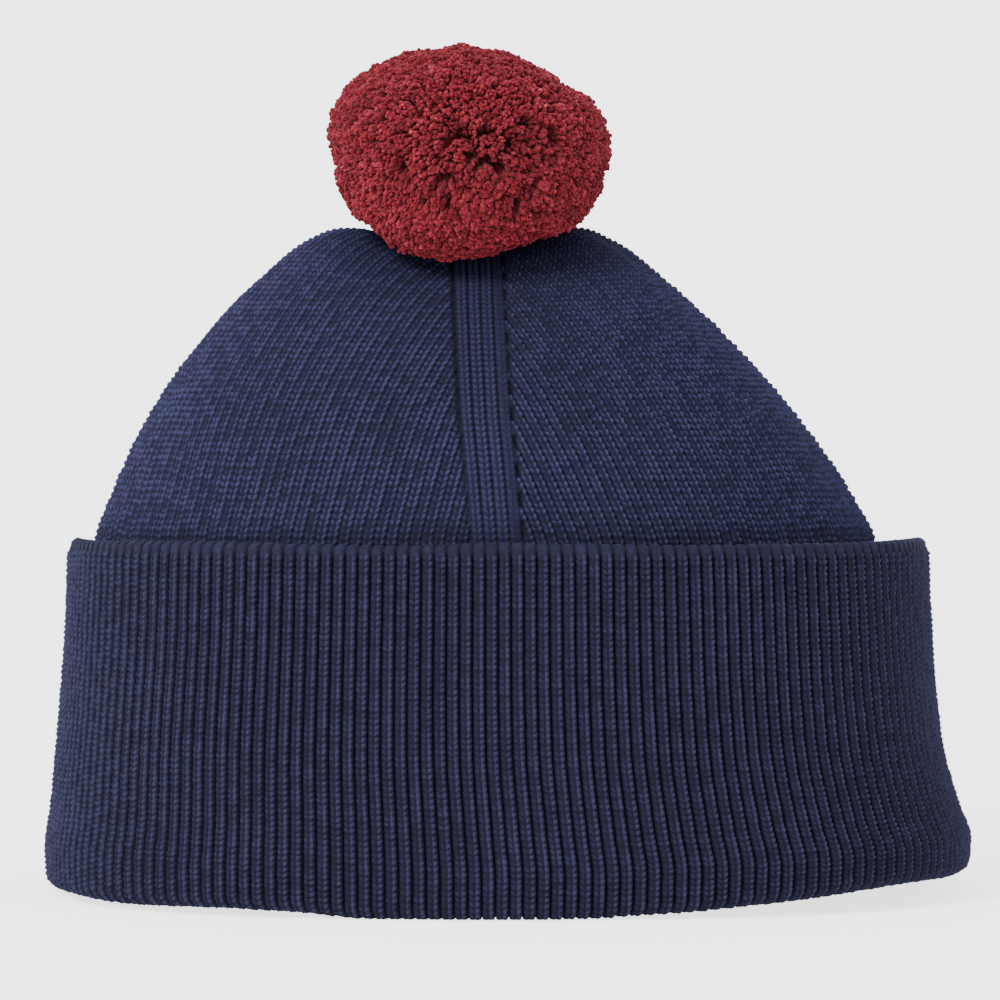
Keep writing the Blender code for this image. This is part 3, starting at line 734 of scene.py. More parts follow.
# ------------------------------------------------------------------ the crown
def crown_walk():
    """Heights up the crown with distances walked to them, and the whole length of the panels."""
    z = np.linspace(CROWN_STATIONS[0, 0], CROWN_STATIONS[-1, 0], 1600)
    stations = track(CROWN_STATIONS, z)
    mean_half = 0.5 * (stations[:, 0] + stations[:, 1])
    walked = np.concatenate([[0], np.cumsum(np.hypot(np.diff(z), np.diff(mean_half)))])
    opening = 7.4             # half-width at which the panels stop
    return z, walked, np.interp(opening, stations[::-1, 0], walked[::-1])


WALK_Z, WALKED, CROWN_TOTAL = crown_walk()


def crown_surface(distance, share):
    """Points [row, column] of the crown at these distances and shares, and each row's girth."""
    z = np.interp(distance, WALKED, WALK_Z)
    stations = track(CROWN_STATIONS, z)
    points = np.zeros(share.shape + (3,))
    girths = np.zeros(len(z))
    for i in range(len(z)):
        half_x, half_y, middle_x, power = stations[i]
        from_front = (share[i] + 0.5) % 1.0 - 0.5
        rise = float(np.clip((80.0 - half_x) / 30.0, 0, 1))
        stray = SEAM_STRAY[0] + (SEAM_STRAY[1] - SEAM_STRAY[0]) * rise
        stray = stray * float(np.clip((half_x - 8.0) / 30.0, 0, 1)) / (5.3 * half_x)
        stray = stray * np.exp(-((from_front / 0.075) ** 2))
        x, y, girths[i] = outline(half_x, half_y, power, middle_x, share[i] + stray)
        points[i] = np.stack([x, y, z[i] - dent(x, y)], -1)
    return points, girths


def crown_normals(distance, share):
    share_step, step = 0.0015, 0.5
    right, _ = crown_surface(distance, share + share_step)
    left, _ = crown_surface(distance, share - share_step)
    above, _ = crown_surface(np.minimum(distance + step, WALKED[-1] - 0.01), share)
    below, _ = crown_surface(np.maximum(distance - step, 0.0), share)
    normals = np.cross(right - left, above - below)
    return normals / np.maximum(np.linalg.norm(normals, axis=2, keepdims=True), 1e-9)


def zip_loops(first, second, first_at, second_at):
    """Triangles between two lines of vertex ids, given a growing parameter along each."""
    faces, i, j = [], 0, 0
    while i < len(first) - 1 or j < len(second) - 1:
        second_done = j == len(second) - 1
        if second_done or (i < len(first) - 1 and first_at[i + 1] <= second_at[j + 1]):
            if first[i] != first[i + 1]:
                faces.append((first[i], first[i + 1], second[j], second[j]))
            i += 1
        else:
            faces.append((first[i], second[j + 1], second[j], second[j]))
            j += 1
    return np.array(faces)


# sample places in wales from the seam, on the starting and on the ending side of a panel
SEAM_PLACES = (
    np.array([0.0, 0.17, 0.34, 0.5, 0.63, 0.80, 1.0, 1.20, 1.37, 1.5, 1.63, 1.80, 2.0, 2.20, 2.40]),
    np.array([0.0, 0.17, 0.34, 0.5, 0.63, 0.80, 1.0, 1.20, 1.38]),
)


def wale_relief(number, across, pitch, limits, distance, share):
    """Height and painted shade tone of the upright wales between a panel's two seam bands."""
    course = (distance / CROWN_COURSE)[:, None]
    place = across / pitch
    wale = np.floor(place)
    in_wale = place - wale
    courses = course + 0.22 * lattice_noise(wale + 40 * (number + 1), course / 9.0, 21)
    stitch = knit(place, courses, **CROWN_STITCH)
    # the marks of the wales that run out; unbroken where the panel ends, fading low down
    wave = np.sin(2 * math.pi * (course + 2.3 * number) / 4.5) * 0.5 + 0.5
    mark = 0.25 + 0.75 * smoothstep(0.30, 0.62, wave)
    unbroken = 0.40 + 0.52 * smoothstep(48.0, 88.0, distance)[:, None]
    mark = np.where(across > 0, unbroken, mark)
    low, high = limits
    run_out = smoothstep(0.06, 0.50, np.minimum(high - across, across + low) / pitch)
    run_out = 1 - (1 - run_out) * mark
    stitch_size = 1 + 0.24 * lattice_noise(wale + 10 * number, courses, 22)
    stitch_size = stitch_size + np.where(in_wale > 0.5, 0.12, -0.12)
    # the wales stand up like ribs where the crown is drawn in towards the +X seam
    tight = 0.12
    if number == 0:
        tight = 0.40 + 0.60 * smoothstep(0.155, 0.225, share)
    elif number == 1:
        tight = 1 - 0.6 * smoothstep(0.275, 0.345, share)
    valley = smoothstep(0.30, 0.5, np.abs(in_wale - 0.5)) * tight
    height = 1.05 * stitch * stitch_size * (0.3 + 0.7 * run_out) - 0.55 * (1 - run_out)
    # painted shade: dark between legs and courses, where the wales run out and in the valleys
    # between standing wales
    tone = (0.05 + 0.95 * (stitch * stitch_size) ** 1.24) * (0.02 + 0.98 * run_out)
    return height - 0.75 * valley, np.clip(tone * (1 - 0.65 * valley), 0, 1)


def seam_band_relief(ending, distance):
    """Height and painted shade tone of the wales along the seam on one side of a panel, from the
    seam in.
    """
    steps = SEAM_PLACES[ending][None, :]
    place = steps + 0.5
    stitch = knit(place, (distance / CROWN_COURSE)[:, None], **CROWN_STITCH)
    close = smoothstep(0.0, 0.20, SEAM_BAND[ending] - steps)
    if not ending:            # the wales that run out blur its outermost wale
        outermost = smoothstep(1.5, 1.8, steps)
        stitch = stitch * (1 - 0.35 * outermost) + 0.10 * outermost
        close = 0.45 + 0.55 * close
    valley = smoothstep(0.30, 0.5, np.abs(place - np.floor(place) - 0.5))
    valley = valley * smoothstep(25.0, 65.0, distance)[:, None] * (1.0 if ending else 0.85)
    height = 1.0 * stitch * (0.3 + 0.7 * close) - 0.25 * (1 - close) - 0.45 * valley
    # painted shade: dark between stitches, past the seam band where the wales run out, and in the
    # valleys
    tone = (0.08 + 0.86 * stitch) * (0.1 + 0.9 * close) * (1 - 0.6 * valley)
    return height, np.clip(tone, 0, 1)


def panel_inner_face(centre):
    """Points and painted shade tones of the purl side, its bumps in rows, one row to a course,
    lighter on the bumps.
    """
    columns = 34
    distance = np.linspace(0, CROWN_TOTAL, int(CROWN_TOTAL / CROWN_COURSE * (4)))
    share = np.tile(centre + np.linspace(-0.125, 0.125, columns), (len(distance), 1))
    points, _ = crown_surface(distance, share)
    wale = (share - centre) * WALES
    course = (distance / CROWN_COURSE)[:, None] + 0.10 * (np.arange(columns) % 2)
    course = course + 0.10 * lattice_noise(wale / 3 + 40.0, (distance / 9.0)[:, None], 25)
    bump = 0.5 + 0.5 * np.cos(2 * math.pi * course)
    fade = smoothstep(2.0, 14.0, distance) * smoothstep(0.0, 6.0, CROWN_TOTAL - distance)
    fade = fade[:, None]
    height = -2.75 - 0.62 * (bump - 0.5) * fade + 0.14 * lattice_noise(wale + 40.0, course, 24)
    points = points + crown_normals(distance, share) * height[..., None]
    return points, 0.20 + 0.62 * bump * fade + 0.25 * (1 - fade)


def panel_faces(ids, inner_ids, across_first, across_last):
    """Faces of both sides of a panel and the walls between them."""
    outer = grid_quads(ids)
    low_same, high_same = outer[:, 0] == outer[:, 1], outer[:, 2] == outer[:, 3]
    keep = ~(low_same & high_same)
    outer, low_same, high_same = outer[keep], low_same[keep], high_same[keep]
    outer[low_same] = outer[low_same][:, [0, 2, 3, 3]]
    outer[high_same] = outer[high_same][:, [0, 1, 2, 2]]
    up, inner_up = np.linspace(0, 1, len(ids)), np.linspace(0, 1, len(inner_ids))
    inner_across = np.linspace(0, 1, inner_ids.shape[1])
    turned_over = [0, 2, 1, 1]
    return np.vstack([
        outer,
        grid_quads(inner_ids)[:, FLIP],
        zip_loops(ids[:, 0], inner_ids[:, 0], up, inner_up)[:, turned_over],
        zip_loops(ids[:, -1], inner_ids[:, -1], up, inner_up),
        zip_loops(ids[0], inner_ids[0], across_first, inner_across),
        zip_loops(ids[-1], inner_ids[-1], across_last, inner_across)[:, turned_over],
    ])


def build_panel(name, number):
    """One crown panel: upright wales, running out against a band that follows each seam."""
    centre = number / 4 + 0.125
    distance = np.linspace(0, CROWN_TOTAL, int(CROWN_TOTAL / CROWN_COURSE * (4)))
    rows = len(distance)
    _, girths = crown_surface(distance, np.full((rows, 1), centre))
    pitch = girths[0] / WALES
    half = girths / 8
    band_pitch = pitch * 1.12 * np.minimum(1.0, half / (3.2 * pitch * 1.12))
    low, high = [np.maximum(half - wales * band_pitch, 0.02)[:, None] for wales in SEAM_BAND]
    reach = int(math.ceil(half[0] / pitch)) + 1
    places = wale_places(-reach, reach, COARSE_WALE)
    places = places[np.abs(places * pitch) < high[0, 0] + pitch]
    # columns of wales, clamped between the bands, then the columns of both bands
    wales_across = np.clip(places[None, :] * pitch, -low, high)
    starting = -half[:, None] + SEAM_PLACES[0][None, :] * band_pitch[:, None]
    ending = (half[:, None] - SEAM_PLACES[1][None, :] * band_pitch[:, None])[:, ::-1]
    across = np.concatenate([starting, wales_across, ending], 1)
    first = starting.shape[1]
    middle = slice(first, first + len(places))
    share = centre + across / girths[:, None]
    points, _ = crown_surface(distance, share)

    wales = wale_relief(number, wales_across, pitch, (low, high), distance, share[:, middle])
    start_band, end_band = [seam_band_relief(side, distance) for side in (0, 1)]
    height, crease = [
        np.concatenate([start_band[k], wales[k], end_band[k][:, ::-1]], 1) for k in (0, 1)]
    # painted shadow: the crown is darkened just above the turned-up cuff's edge and below the pom
    # pom, where their shadows fall
    x, y, z = points[..., 0], points[..., 1], points[..., 2]
    crease = crease * (1 - 0.14 * np.exp(-(((z - CUFF_HEIGHT) / 4.5) ** 2)))
    below = np.maximum(CROWN_STATIONS[-1, 0] - z, 0)
    pompom_shadow = np.exp(-(((x - CORE[0]) / 34.0) ** 4) - (below / 26.0) ** 2)
    crease = crease * (1 - 0.34 * pompom_shadow * smoothstep(10.0, -25.0, y))
    # the relief runs smoother into the gathered top
    close_top = smoothstep(0.0, 10.0, CROWN_TOTAL - distance)[:, None]
    waves = lattice_noise(share * 30, (distance / CROWN_COURSE)[:, None] / 16.0, 23, 30)
    height = (height - 0.45) * (0.35 + 0.65 * close_top) + 0.45 * waves
    points = points + crown_normals(distance, share) * height[..., None]

    # clamped columns share one vertex a row
    ids = np.arange(across.size).reshape(across.shape)
    low_clamped = places[None, :] * pitch < -low
    high_clamped = places[None, :] * pitch > high
    for i in range(rows):
        clamped = np.where(low_clamped[i])[0]
        if len(clamped):
            ids[i, first + clamped] = ids[i, first + clamped[-1]]
        clamped = np.where(high_clamped[i])[0]
        if len(clamped):
            ids[i, first + clamped] = ids[i, first + clamped[0]]
    inner_points, inner_crease = panel_inner_face(centre)
    inner_ids = ids.size + np.arange(inner_crease.size).reshape(inner_crease.shape)
    across_first, across_last = [
        (across[end] + half[end]) / (2 * half[end]) for end in (0, -1)]
    faces = panel_faces(ids, inner_ids, across_first, across_last)
    vertices = np.vstack([points.reshape(-1, 3), inner_points.reshape(-1, 3)])
    tones = np.concatenate([crease.ravel(), inner_crease.ravel()])
    used = np.zeros(len(vertices), bool)
    used[faces.ravel()] = True
    renumbered = np.cumsum(used) - 1
    return mesh_object(name, vertices[used], renumbered[faces], NAVY_CROWN, tones[used])


for number, key in enumerate(("front_right", "back_right", "back_left", "front_left")):
    panel = build_panel("panel_" + key, number)
    attach([panel], "crown_panel_" + key, rides="crown")


# ------------------------------------------------------------------ the inner layer of the rib
def build_inner_rib():
    """A ring from inside the fold to the foot of the crown, in two halves."""
    low, high = 9.0, 47.5
    places = wale_places(0, RIBS, COARSE_WALE)
    share = places / RIBS
    side = np.abs((places - np.floor(places)) - 0.5)
    rib, rib_in = half_round(side, 0.52), half_round(0.5 - side, 0.52)
    rows, tones = [], []

    def add_row(z, inset, height, tone):
        x, y, _ = outline(BAND_HALF_X - inset, BAND_HALF_Y - inset, SECTION_POWER, BAND_X, share)
        out_x, out_y = x - BAND_X, y * (BAND_HALF_X / BAND_HALF_Y) ** 2
        length = np.hypot(out_x, out_y)
        row = [x + out_x / length * height, y + out_y / length * height, z + settle(x, y, z)]
        rows.append(np.stack(row, -1))
        tones.append(tone)

    for z in np.linspace(low, high, int((high - low) / COURSE * 3)):
        stitch = knit(places, z / COURSE, **BAND_STITCH)
        # painted shade: lighter on the ribs and stitches, darker between them
        tone = 0.6 * rib * (0.4 + 0.6 * stitch) + 0.3 * stitch
        add_row(z, 0.5, 0.95 * rib + 0.35 * stitch - 1.15, tone)
    # painted shade on the inner face too: lighter on its ribs, darker between them
    for z in np.linspace(high, low, 30):
        add_row(z, 2.6, -(0.75 * rib_in - 0.45), 0.55 * rib_in + 0.1)
    names = ["inner_rib_right", "inner_rib_left"]
    step = len(places) // 2
    pieces = ring_pieces(names, np.array(rows), np.array(tones), step, NAVY_IN, rows_up=True)
    for piece in pieces:
        blend_cuff_to_crown(piece)
    attach(pieces, "inner_band")


build_inner_rib()


# ------------------------------------------------------------------ the pom pom
# outline seen from the front: angle in degrees from +X towards +Z, radius
POM_RIM = np.array([
    (-3, 33.2), (7, 34.5), (18, 33.5), (25, 32.0), (35, 28.2), (47, 27.4), (60, 26.6),
    (83, 25.6), (95, 26.9), (107, 26.5), (121, 28.9), (135, 31.2), (152, 34.7), (163, 35.4),
    (173, 34.9), (182, 33.2), (193, 33.0), (204, 31.5), (217, 30.8), (233, 30.2), (250, 28.2),
    (270, 26.4), (291, 25.8), (307, 27.0), (322, 30.6), (336, 31.6), (347, 33.0), (357, 33.2),
])
POM_MEAN = 30.5               # radius where the outline has no say
POM_DEPTH = 33.0              # reach to the front and the back
POM_HALF_HEIGHT = 29.0
POM_HANG = 0.80               # how far the pile shifts to the front below the core
POM_GAP = 1.6                 # room kept between the pile and the crown
# the few places where the pile parts widely: direction, half-width, half-height, depth
PARTINGS = [
    ((-0.07, -0.99, 0.10), 0.14, 0.036, 2.6), ((0.02, -0.99, -0.05), 0.06, 0.030, 2.0),
    ((0.12, -0.98, -0.10), 0.13, 0.038, 3.2), ((0.23, -0.96, -0.15), 0.040, 0.06, 3.0),
    ((-0.19, -0.96, -0.21), 0.11, 0.036, 2.8), ((0.30, -0.94, 0.03), 0.05, 0.042, 2.6),
    ((0.12, -0.98, 0.13), 0.08, 0.034, 2.4), ((0.38, -0.86, -0.44), 0.036, 0.080, 3.4),
    ((0.40, -0.88, 0.21), 0.07, 0.034, 2.2), ((-0.50, -0.84, -0.13), 0.06, 0.08, 1.6),
    ((-0.16, -0.90, -0.42), 0.028, 0.07, 1.5), ((0.24, -0.88, -0.38), 0.028, 0.06, 1.4),
    ((0.6, -0.76, 0.1), 0.06, 0.05, 1.8), ((0.55, 0.80, 0.10), 0.12, 0.04, 3.0),
    ((-0.35, 0.92, -0.10), 0.13, 0.04, 3.0), ((0.05, 0.95, 0.30), 0.05, 0.10, 2.6),
    ((-0.1, 0.1, 0.99), 0.12, 0.05, 2.4), ((-0.98, 0.1, 0.05), 0.10, 0.04, 2.4),
    ((0.97, 0.15, -0.10), 0.12, 0.04, 2.6),
]


def pom_radius(ways):
    """Reach of the pile from the core in each unit direction before it hangs."""
    angle = np.degrees(np.arctan2(ways[:, 2], ways[:, 0])) % 360
    angle = np.where(angle > 357, angle - 360, angle)
    radius = np.interp(angle, POM_RIM[:, 0], POM_RIM[:, 1])
    flat = np.hypot(ways[:, 0], ways[:, 2])
    radius = radius * flat**1.5 + POM_MEAN * (1 - flat**1.5)
    return 1 / np.sqrt(flat**2 / radius**2 + ways[:, 1] ** 2 / POM_DEPTH**2)


def hang(points):
    """The pile shifts to the front below the core."""
    out = points.copy()
    y, z = np.clip(points[:, 1] / POM_DEPTH, -1, 1), points[:, 2] / POM_HALF_HEIGHT
    below = (z - np.sqrt(z * z + 0.12)) / 2
    out[:, 1] += POM_HANG * POM_HALF_HEIGHT * below * (1 - 0.10 * y - 0.55 * y * y)
    return out


def sag(ways):
    """How far a strand's tip hangs down, most low on the ball."""
    return 0.5 + 1.9 * smoothstep(0.15, -0.75, ways[:, 2]) * (1 - np.abs(ways[:, 2]))


def turned(axis, degrees):
    """Rotation matrix about X or Y."""
    c, s = math.cos(math.radians(degrees)), math.sin(math.radians(degrees))
    if axis == "X":
        return np.array([[1, 0, 0], [0, c, -s], [0, s, c]])
    return np.array([[c, 0, s], [0, 1, 0], [-s, 0, c]])


NODS, SWAYS = (-14.0, -9.0, -4.0, 0.0, 2.0, 4.0), (-9.0, 0.0, 9.0)   # degrees
FLOP = [(turned("X", nod), turned("Y", sway)) for nod in NODS for sway in SWAYS]


def fibonacci(count):
    """Unit directions spread evenly over a sphere."""
    i = np.arange(count) + 0.5
    polar = np.arccos(1 - 2 * i / count)
    turn = math.pi * (1 + 5**0.5) * i
    return np.stack(
        [np.cos(turn) * np.sin(polar), np.sin(turn) * np.sin(polar), np.cos(polar)], -1)


def jittered(rng, count, amount):
    ways = fibonacci(count)
    ways += rng.normal(0, amount, ways.shape)
    return ways / np.linalg.norm(ways, axis=1, keepdims=True)


def sphere_noise(ways, frequency, seed):
    """Smooth noise over directions, from three crossed lattices."""
    x, y, z = (ways * frequency + 50).T
    total = lattice_noise(x, y, seed) + lattice_noise(y, z, seed + 1)
    return (total + lattice_noise(z, x, seed + 2)) / 1.8


def buried(ways, reach):
    """Which strand tips meet the crown or the loop somewhere in the pom pom's flop."""
    tip = ways * reach[:, None]
    tip[:, 2] -= sag(ways)
    tip = CORE + hang(tip)
    hit = np.zeros(len(ways), bool)
    loop = TIE + TIE_AXIS * 2.4
    for nod, sway in FLOP:
        swayed = (tip - SWAY_PIVOT) @ sway.T + SWAY_PIVOT
        hit |= inside_crown((swayed - TIE) @ nod.T + TIE, POM_GAP)
        hit |= np.linalg.norm(swayed - loop, axis=1) < 6.6
    return hit


def clear_reach(ways, reach):
    """Shortens each reach until its tip stays off the crown and the loop, by bisection."""
    out = reach.copy()
    look = np.flatnonzero(ways[:, 2] < 0.35)
    look = look[buried(ways[look], reach[look])]
    low, high = np.full(len(look), 6.0), reach[look]
    for _ in range(9):
        middle = (low + high) / 2
        hit = buried(ways[look], middle)
        high, low = np.where(hit, middle, high), np.where(hit, low, middle)
    out[look] = low
    return out


def parting(ways, where, wide, high):
    """How deep each direction lies in an arched parting, 0..1, its upward way, and the side."""
    middle = np.array(where) / np.linalg.norm(where)
    along = np.array([1.0, 0.0, 0.0])
    if abs(middle[2]) < 0.9:
        along = np.cross((0.0, 0.0, 1.0), middle)
    along /= np.linalg.norm(along)
    up = np.cross(middle, along)
    off = ways - middle
    off_along, off_up = off @ along, off @ up
    off_up = off_up + 0.9 * off_along**2 / max(wide, 0.05)
    depth = np.exp(-((off_along / wide) ** 4) - (off_up / high) ** 2) * (ways @ middle > 0)
    return depth, up, np.sign(off_up)


PILE = pile_material()


def strand_paths(rng, ways, shares):
    """Paths [ring, strand, xyz] of the strands round the core, each strand's shade of colour, and
    its painted shade in the partings, pits and crevices.
    """
    count = len(ways)
    # soft lumps of a dozen strands, parted by uneven crevices
    clumps = jittered(rng, 2300, 0.020)
    near = np.argsort(-(ways @ clumps.T), axis=1)[:, :2]
    own = near[:, 0]
    pull = clumps[own] - ways
    away = np.linalg.norm(pull, axis=1)
    inside = (np.linalg.norm(clumps[near[:, 1]] - ways, axis=1) - away) / 0.04
    border = np.exp(-((inside / 0.34) ** 2))
    crevice = 0.5 + 0.5 * sphere_noise(ways, 6.0, 61)
    reach = pom_radius(ways)
    reach += 0.45 * sphere_noise(ways, 5.0, 31) + 0.45 * sphere_noise(ways, 12.0, 41) + 0.35
    pit = smoothstep(0.50, 0.80, sphere_noise(ways, 17.0, 91))
    pit = pit * (0.35 + 0.65 * smoothstep(0.45, 0.75, -ways[:, 1]))
    reach += rng.normal(0, 0.22, len(clumps))[own]
    reach -= 0.60 * border * crevice.clip(0.10, 1) + 9.0 * away**1.5 + 1.5 * pit
    push = np.zeros_like(ways)
    dark = np.zeros(count)
    for where, wide, high, deep in PARTINGS:
        depth, up, side_of = parting(ways, where, wide, high)
        reach -= 1.9 * deep * depth
        dark = np.maximum(dark, depth)
        around, _, _ = parting(ways, where, wide, high * 2.0)
        push += up[None, :] * (side_of * around * high * 11)[:, None]
    reach = clear_reach(ways, reach)
    reach += rng.normal(0, 0.12, count)
    shade = 0.52 + 0.08 * sphere_noise(ways, 8.0, 71) + rng.normal(0, 0.09, len(clumps))[own]
    # painted shade: strands darker in the partings, pits and crevices
    gap_shade = (1 - 0.75 * dark) * (1 - 0.55 * pit) * (1 - 0.25 * border * crevice.clip(0, 1))
    bend = rng.normal(0, 0.20, (count, 3))
    swirl = np.cross(ways, np.array([0.3, 0.2, 0.9]))
    bend += 0.7 * sphere_noise(ways, 7.0, 51)[:, None] * swirl
    strand_length = 7.0
    rings = []
    for t in shares:
        side = (pull * reach[:, None] * 0.20 + bend + push) * t**1.5
        side[:, 2] -= sag(ways) * t**2
        rings.append(ways * (reach - strand_length * (1 - t))[:, None] + side)
    return np.array(rings), shade, gap_shade


def build_strands():
    """Short four-sided strands, each a tapering tube with a pointed tip."""
    rng = np.random.default_rng(5)
    count = 24000
    ways = jittered(rng, count, 0.008)
    sides = 4
    shares = np.array([0.0, 0.62, 0.90, 1.0])       # rings along a strand, root to tip
    widths = np.array([0.60, 0.94, 1.0, 0.78]) * 0.55
    # painted shade: strands darker towards their roots, which lie in the shade of the pile
    root_shade = np.array([0.12, 0.55, 0.95, 1.02])
    path, shade, gap_shade = strand_paths(rng, ways, shares)
    tangent = np.gradient(path, axis=0)
    tangent /= np.linalg.norm(tangent, axis=2, keepdims=True)
    guide = np.cross(tangent[0], np.array([0.31, 0.52, 0.79]))
    guide /= np.linalg.norm(guide, axis=1, keepdims=True)
    thick = rng.normal(1, 0.16, count).clip(0.65, 1.4)
    spin = rng.uniform(0, 2 * math.pi, count)
    body = np.zeros((len(shares), count, sides, 3))
    for ring in range(len(shares)):
        along = tangent[ring]
        side = guide - along * np.sum(guide * along, axis=1, keepdims=True)
        side /= np.linalg.norm(side, axis=1, keepdims=True)
        up = np.cross(along, side)
        for k in range(sides):
            angle = 2 * math.pi * k / sides + spin + 0.5 * ring
            fray = 1 + (rng.normal(0, 0.10, count) if ring >= 2 else 0.0)
            out = side * np.cos(angle)[:, None] + up * np.sin(angle)[:, None]
            body[ring, :, k] = path[ring] + out * (widths[ring] * thick * fray)[:, None]
    tip = path[-1] + tangent[-1] * rng.uniform(0.05, 0.22, count)[:, None]
    body = hang(body.reshape(-1, 3)).reshape(body.shape) + CORE
    tip = hang(tip) + CORE
    # the painted shade of the partings, pits and crevices darkens each strand's random tone
    shade = np.clip((shade + rng.normal(0, 0.13, count)) * gap_shade, 0.03, 1)

    body = body.transpose(1, 0, 2, 3).reshape(count, -1, 3)
    vertices = np.concatenate([body, tip[:, None, :]], 1)
    tones = np.concatenate([np.repeat(root_shade, sides), [1.0]])[None, :] * shade[:, None]
    ids = np.arange(len(shares) * sides).reshape(len(shares), sides)
    point = np.full(sides, ids.size)
    point_fan = np.stack([ids[-1], np.roll(ids[-1], -1), point, point], -1)
    root = ids[:1, ::-1]
    faces = np.vstack([grid_quads(ids, join_columns=True), point_fan, root])
    per_strand = ids.size + 1
    front, high, right = ways[:, 1] < 0, ways[:, 2] >= 0, ways[:, 0] >= 0
    groups = {
        "pile_front_top": front & high,
        "pile_front_low": front & ~high,
        "pile_back_right": ~front & right,
        "pile_back_left": ~front & ~right,
    }
    pieces = []
    for name, chosen in groups.items():
        starts = np.arange(int(chosen.sum())) * per_strand
        all_faces = (faces[None] + starts[:, None, None]).reshape(-1, 4)
        piece = mesh_object(
            name, vertices[chosen].reshape(-1, 3), all_faces, PILE, tones[chosen].ravel())
        pieces.append(piece)
    return pieces


def build_pile_middle():
    """The dense middle behind the strands."""
    ways = fibonacci(2600)
    reach = clear_reach(ways, pom_radius(ways)) - 2.6
    for where, wide, high, deep in PARTINGS:
        reach -= 1.6 * deep * parting(ways, where, wide, high * 1.4)[0]
    places = hang(ways * reach[:, None]) + CORE
    # the hull of the unit sphere gives the faces, then each vertex goes to its place
    hull = bmesh.new()
    for way in ways:
        hull.verts.new(way)
    bmesh.ops.convex_hull(hull, input=hull.verts)
    hull.verts.ensure_lookup_table()
    for k, vertex in enumerate(hull.verts):
        vertex.co = places[k] * MM
    mesh = bpy.data.meshes.new("pile_middle")
    hull.to_mesh(mesh)
    hull.free()
    # painted shade: the middle gets one dark tone, as it lies in the shade under the strands
    return place_mesh("pile_middle", mesh, PILE, np.full(len(mesh.vertices), 0.16))


attach(build_strands() + [build_pile_middle()], "pompom_pile", rides="pompom")


# ------------------------------------------------------------------ seams
TIE_WOOL = wool(
    "burgundy_tie_yarn", dark=rgb(40, 5, 8), mid=rgb(128, 28, 38), light=rgb(196, 74, 88),
    sheen=rgb(235, 130, 140), fibre_scale=3000.0, sheen_weight=0.25)
THREAD = wool(
    "white_sewing_thread", dark=rgb(120, 118, 112), mid=rgb(205, 203, 196),
    light=rgb(240, 239, 234), sheen=rgb(250, 250, 250), fibre_scale=4200.0)


def seam_object(name, points, across, pitch):
    """Linked seam along points: two yarns that cross over each other once a stitch."""
    run = lengths_along(points)
    places = np.linspace(0, run[-1], int(run[-1] / pitch * 8))
    middle, wide = sample(points, run, places), sample(across, run, places)
    wide /= np.linalg.norm(wide, axis=1, keepdims=True)
    tangent = np.gradient(middle, axis=0)
    tangent /= np.linalg.norm(tangent, axis=1, keepdims=True)
    out = np.cross(tangent, wide)
    strands = []
    for turn in (0.0, math.pi):
        angle = 2 * math.pi * places / pitch + turn
        path = middle + wide * (0.62 * np.sin(angle))[:, None]
        path = path + out * (0.26 * np.cos(angle))[:, None]
        strands.append(plied(path, 0.46, lay=2.2, plies=2, sides=5))
    return yarn_object(name, strands, NAVY_IN)


def build_rib_seams():
    """The back seams: of the cuff, inside the turn-up, and of the inner layer."""
    z = np.linspace(8.0, 83.0, 60)
    _, half_y, middle_x = track(CUFF_STATIONS, z).T
    y = half_y - KNIT_THICK - 0.9 - 0.35
    path = np.stack([middle_x, y, z + settle(middle_x, y, z)], -1)
    across = np.tile([1.0, 0, 0], (len(z), 1))
    seam = seam_object("cuff_back_seam_yarn", path, across, pitch=3.2)
    squash_with_cuff(seam)
    attach([seam], "cuff_back_seam", rides="cuff")

    z = np.linspace(15.0, 43.5, 30)
    y = BAND_HALF_Y - 3.0 - 0.9 - 0.6
    path = np.stack([np.full(len(z), BAND_X), np.full(len(z), y), z], -1)
    seam = seam_object("band_back_seam_yarn", path, across[: len(z)], pitch=3.2)
    blend_cuff_to_crown(seam)
    attach([seam], "band_back_seam")


def build_crown_seams():
    distance = np.linspace(0.5, CROWN_TOTAL - 3.5, 90)
    for k, name in enumerate(("front", "right", "back", "left")):
        share = np.full((len(distance), 1), k / 4.0)
        points, _ = crown_surface(distance, share)
        beside, _ = crown_surface(distance, share + 0.004)
        path = (points - crown_normals(distance, share) * 4.05)[:, 0]
        across = (beside - points)[:, 0]
        seam = seam_object("crown_seam_%s_yarn" % name, path, across, pitch=3.4)
        attach([seam], "crown_seam_" + name, rides="crown")


# ------------------------------------------------------------------ gathering yarn and tie
LOOP_TOP = 4.2                # distance of the loop's top from the tie joint


def on_tie(along, side=0.0, cross=0.0):
    return TIE + TIE_AXIS * along + TIE_SIDE * side + TIE_CROSS * cross


def build_gathering_yarn():
    q = np.linspace(0, 2 * math.pi, 72, endpoint=False)
    radius = 5.0 + 0.25 * np.sin(9 * q)
    z = -1.6 + 0.35 * np.sin(9 * q + 1)
    path = TIE + np.stack([radius * np.cos(q), radius * np.sin(q), z], -1)
    yarn = yarn_object("gathering_yarn", [plied(path, 0.85, lay=3.4, closed=True)], NAVY_CROWN)
    attach([yarn], "gather_yarn", rides="crown")


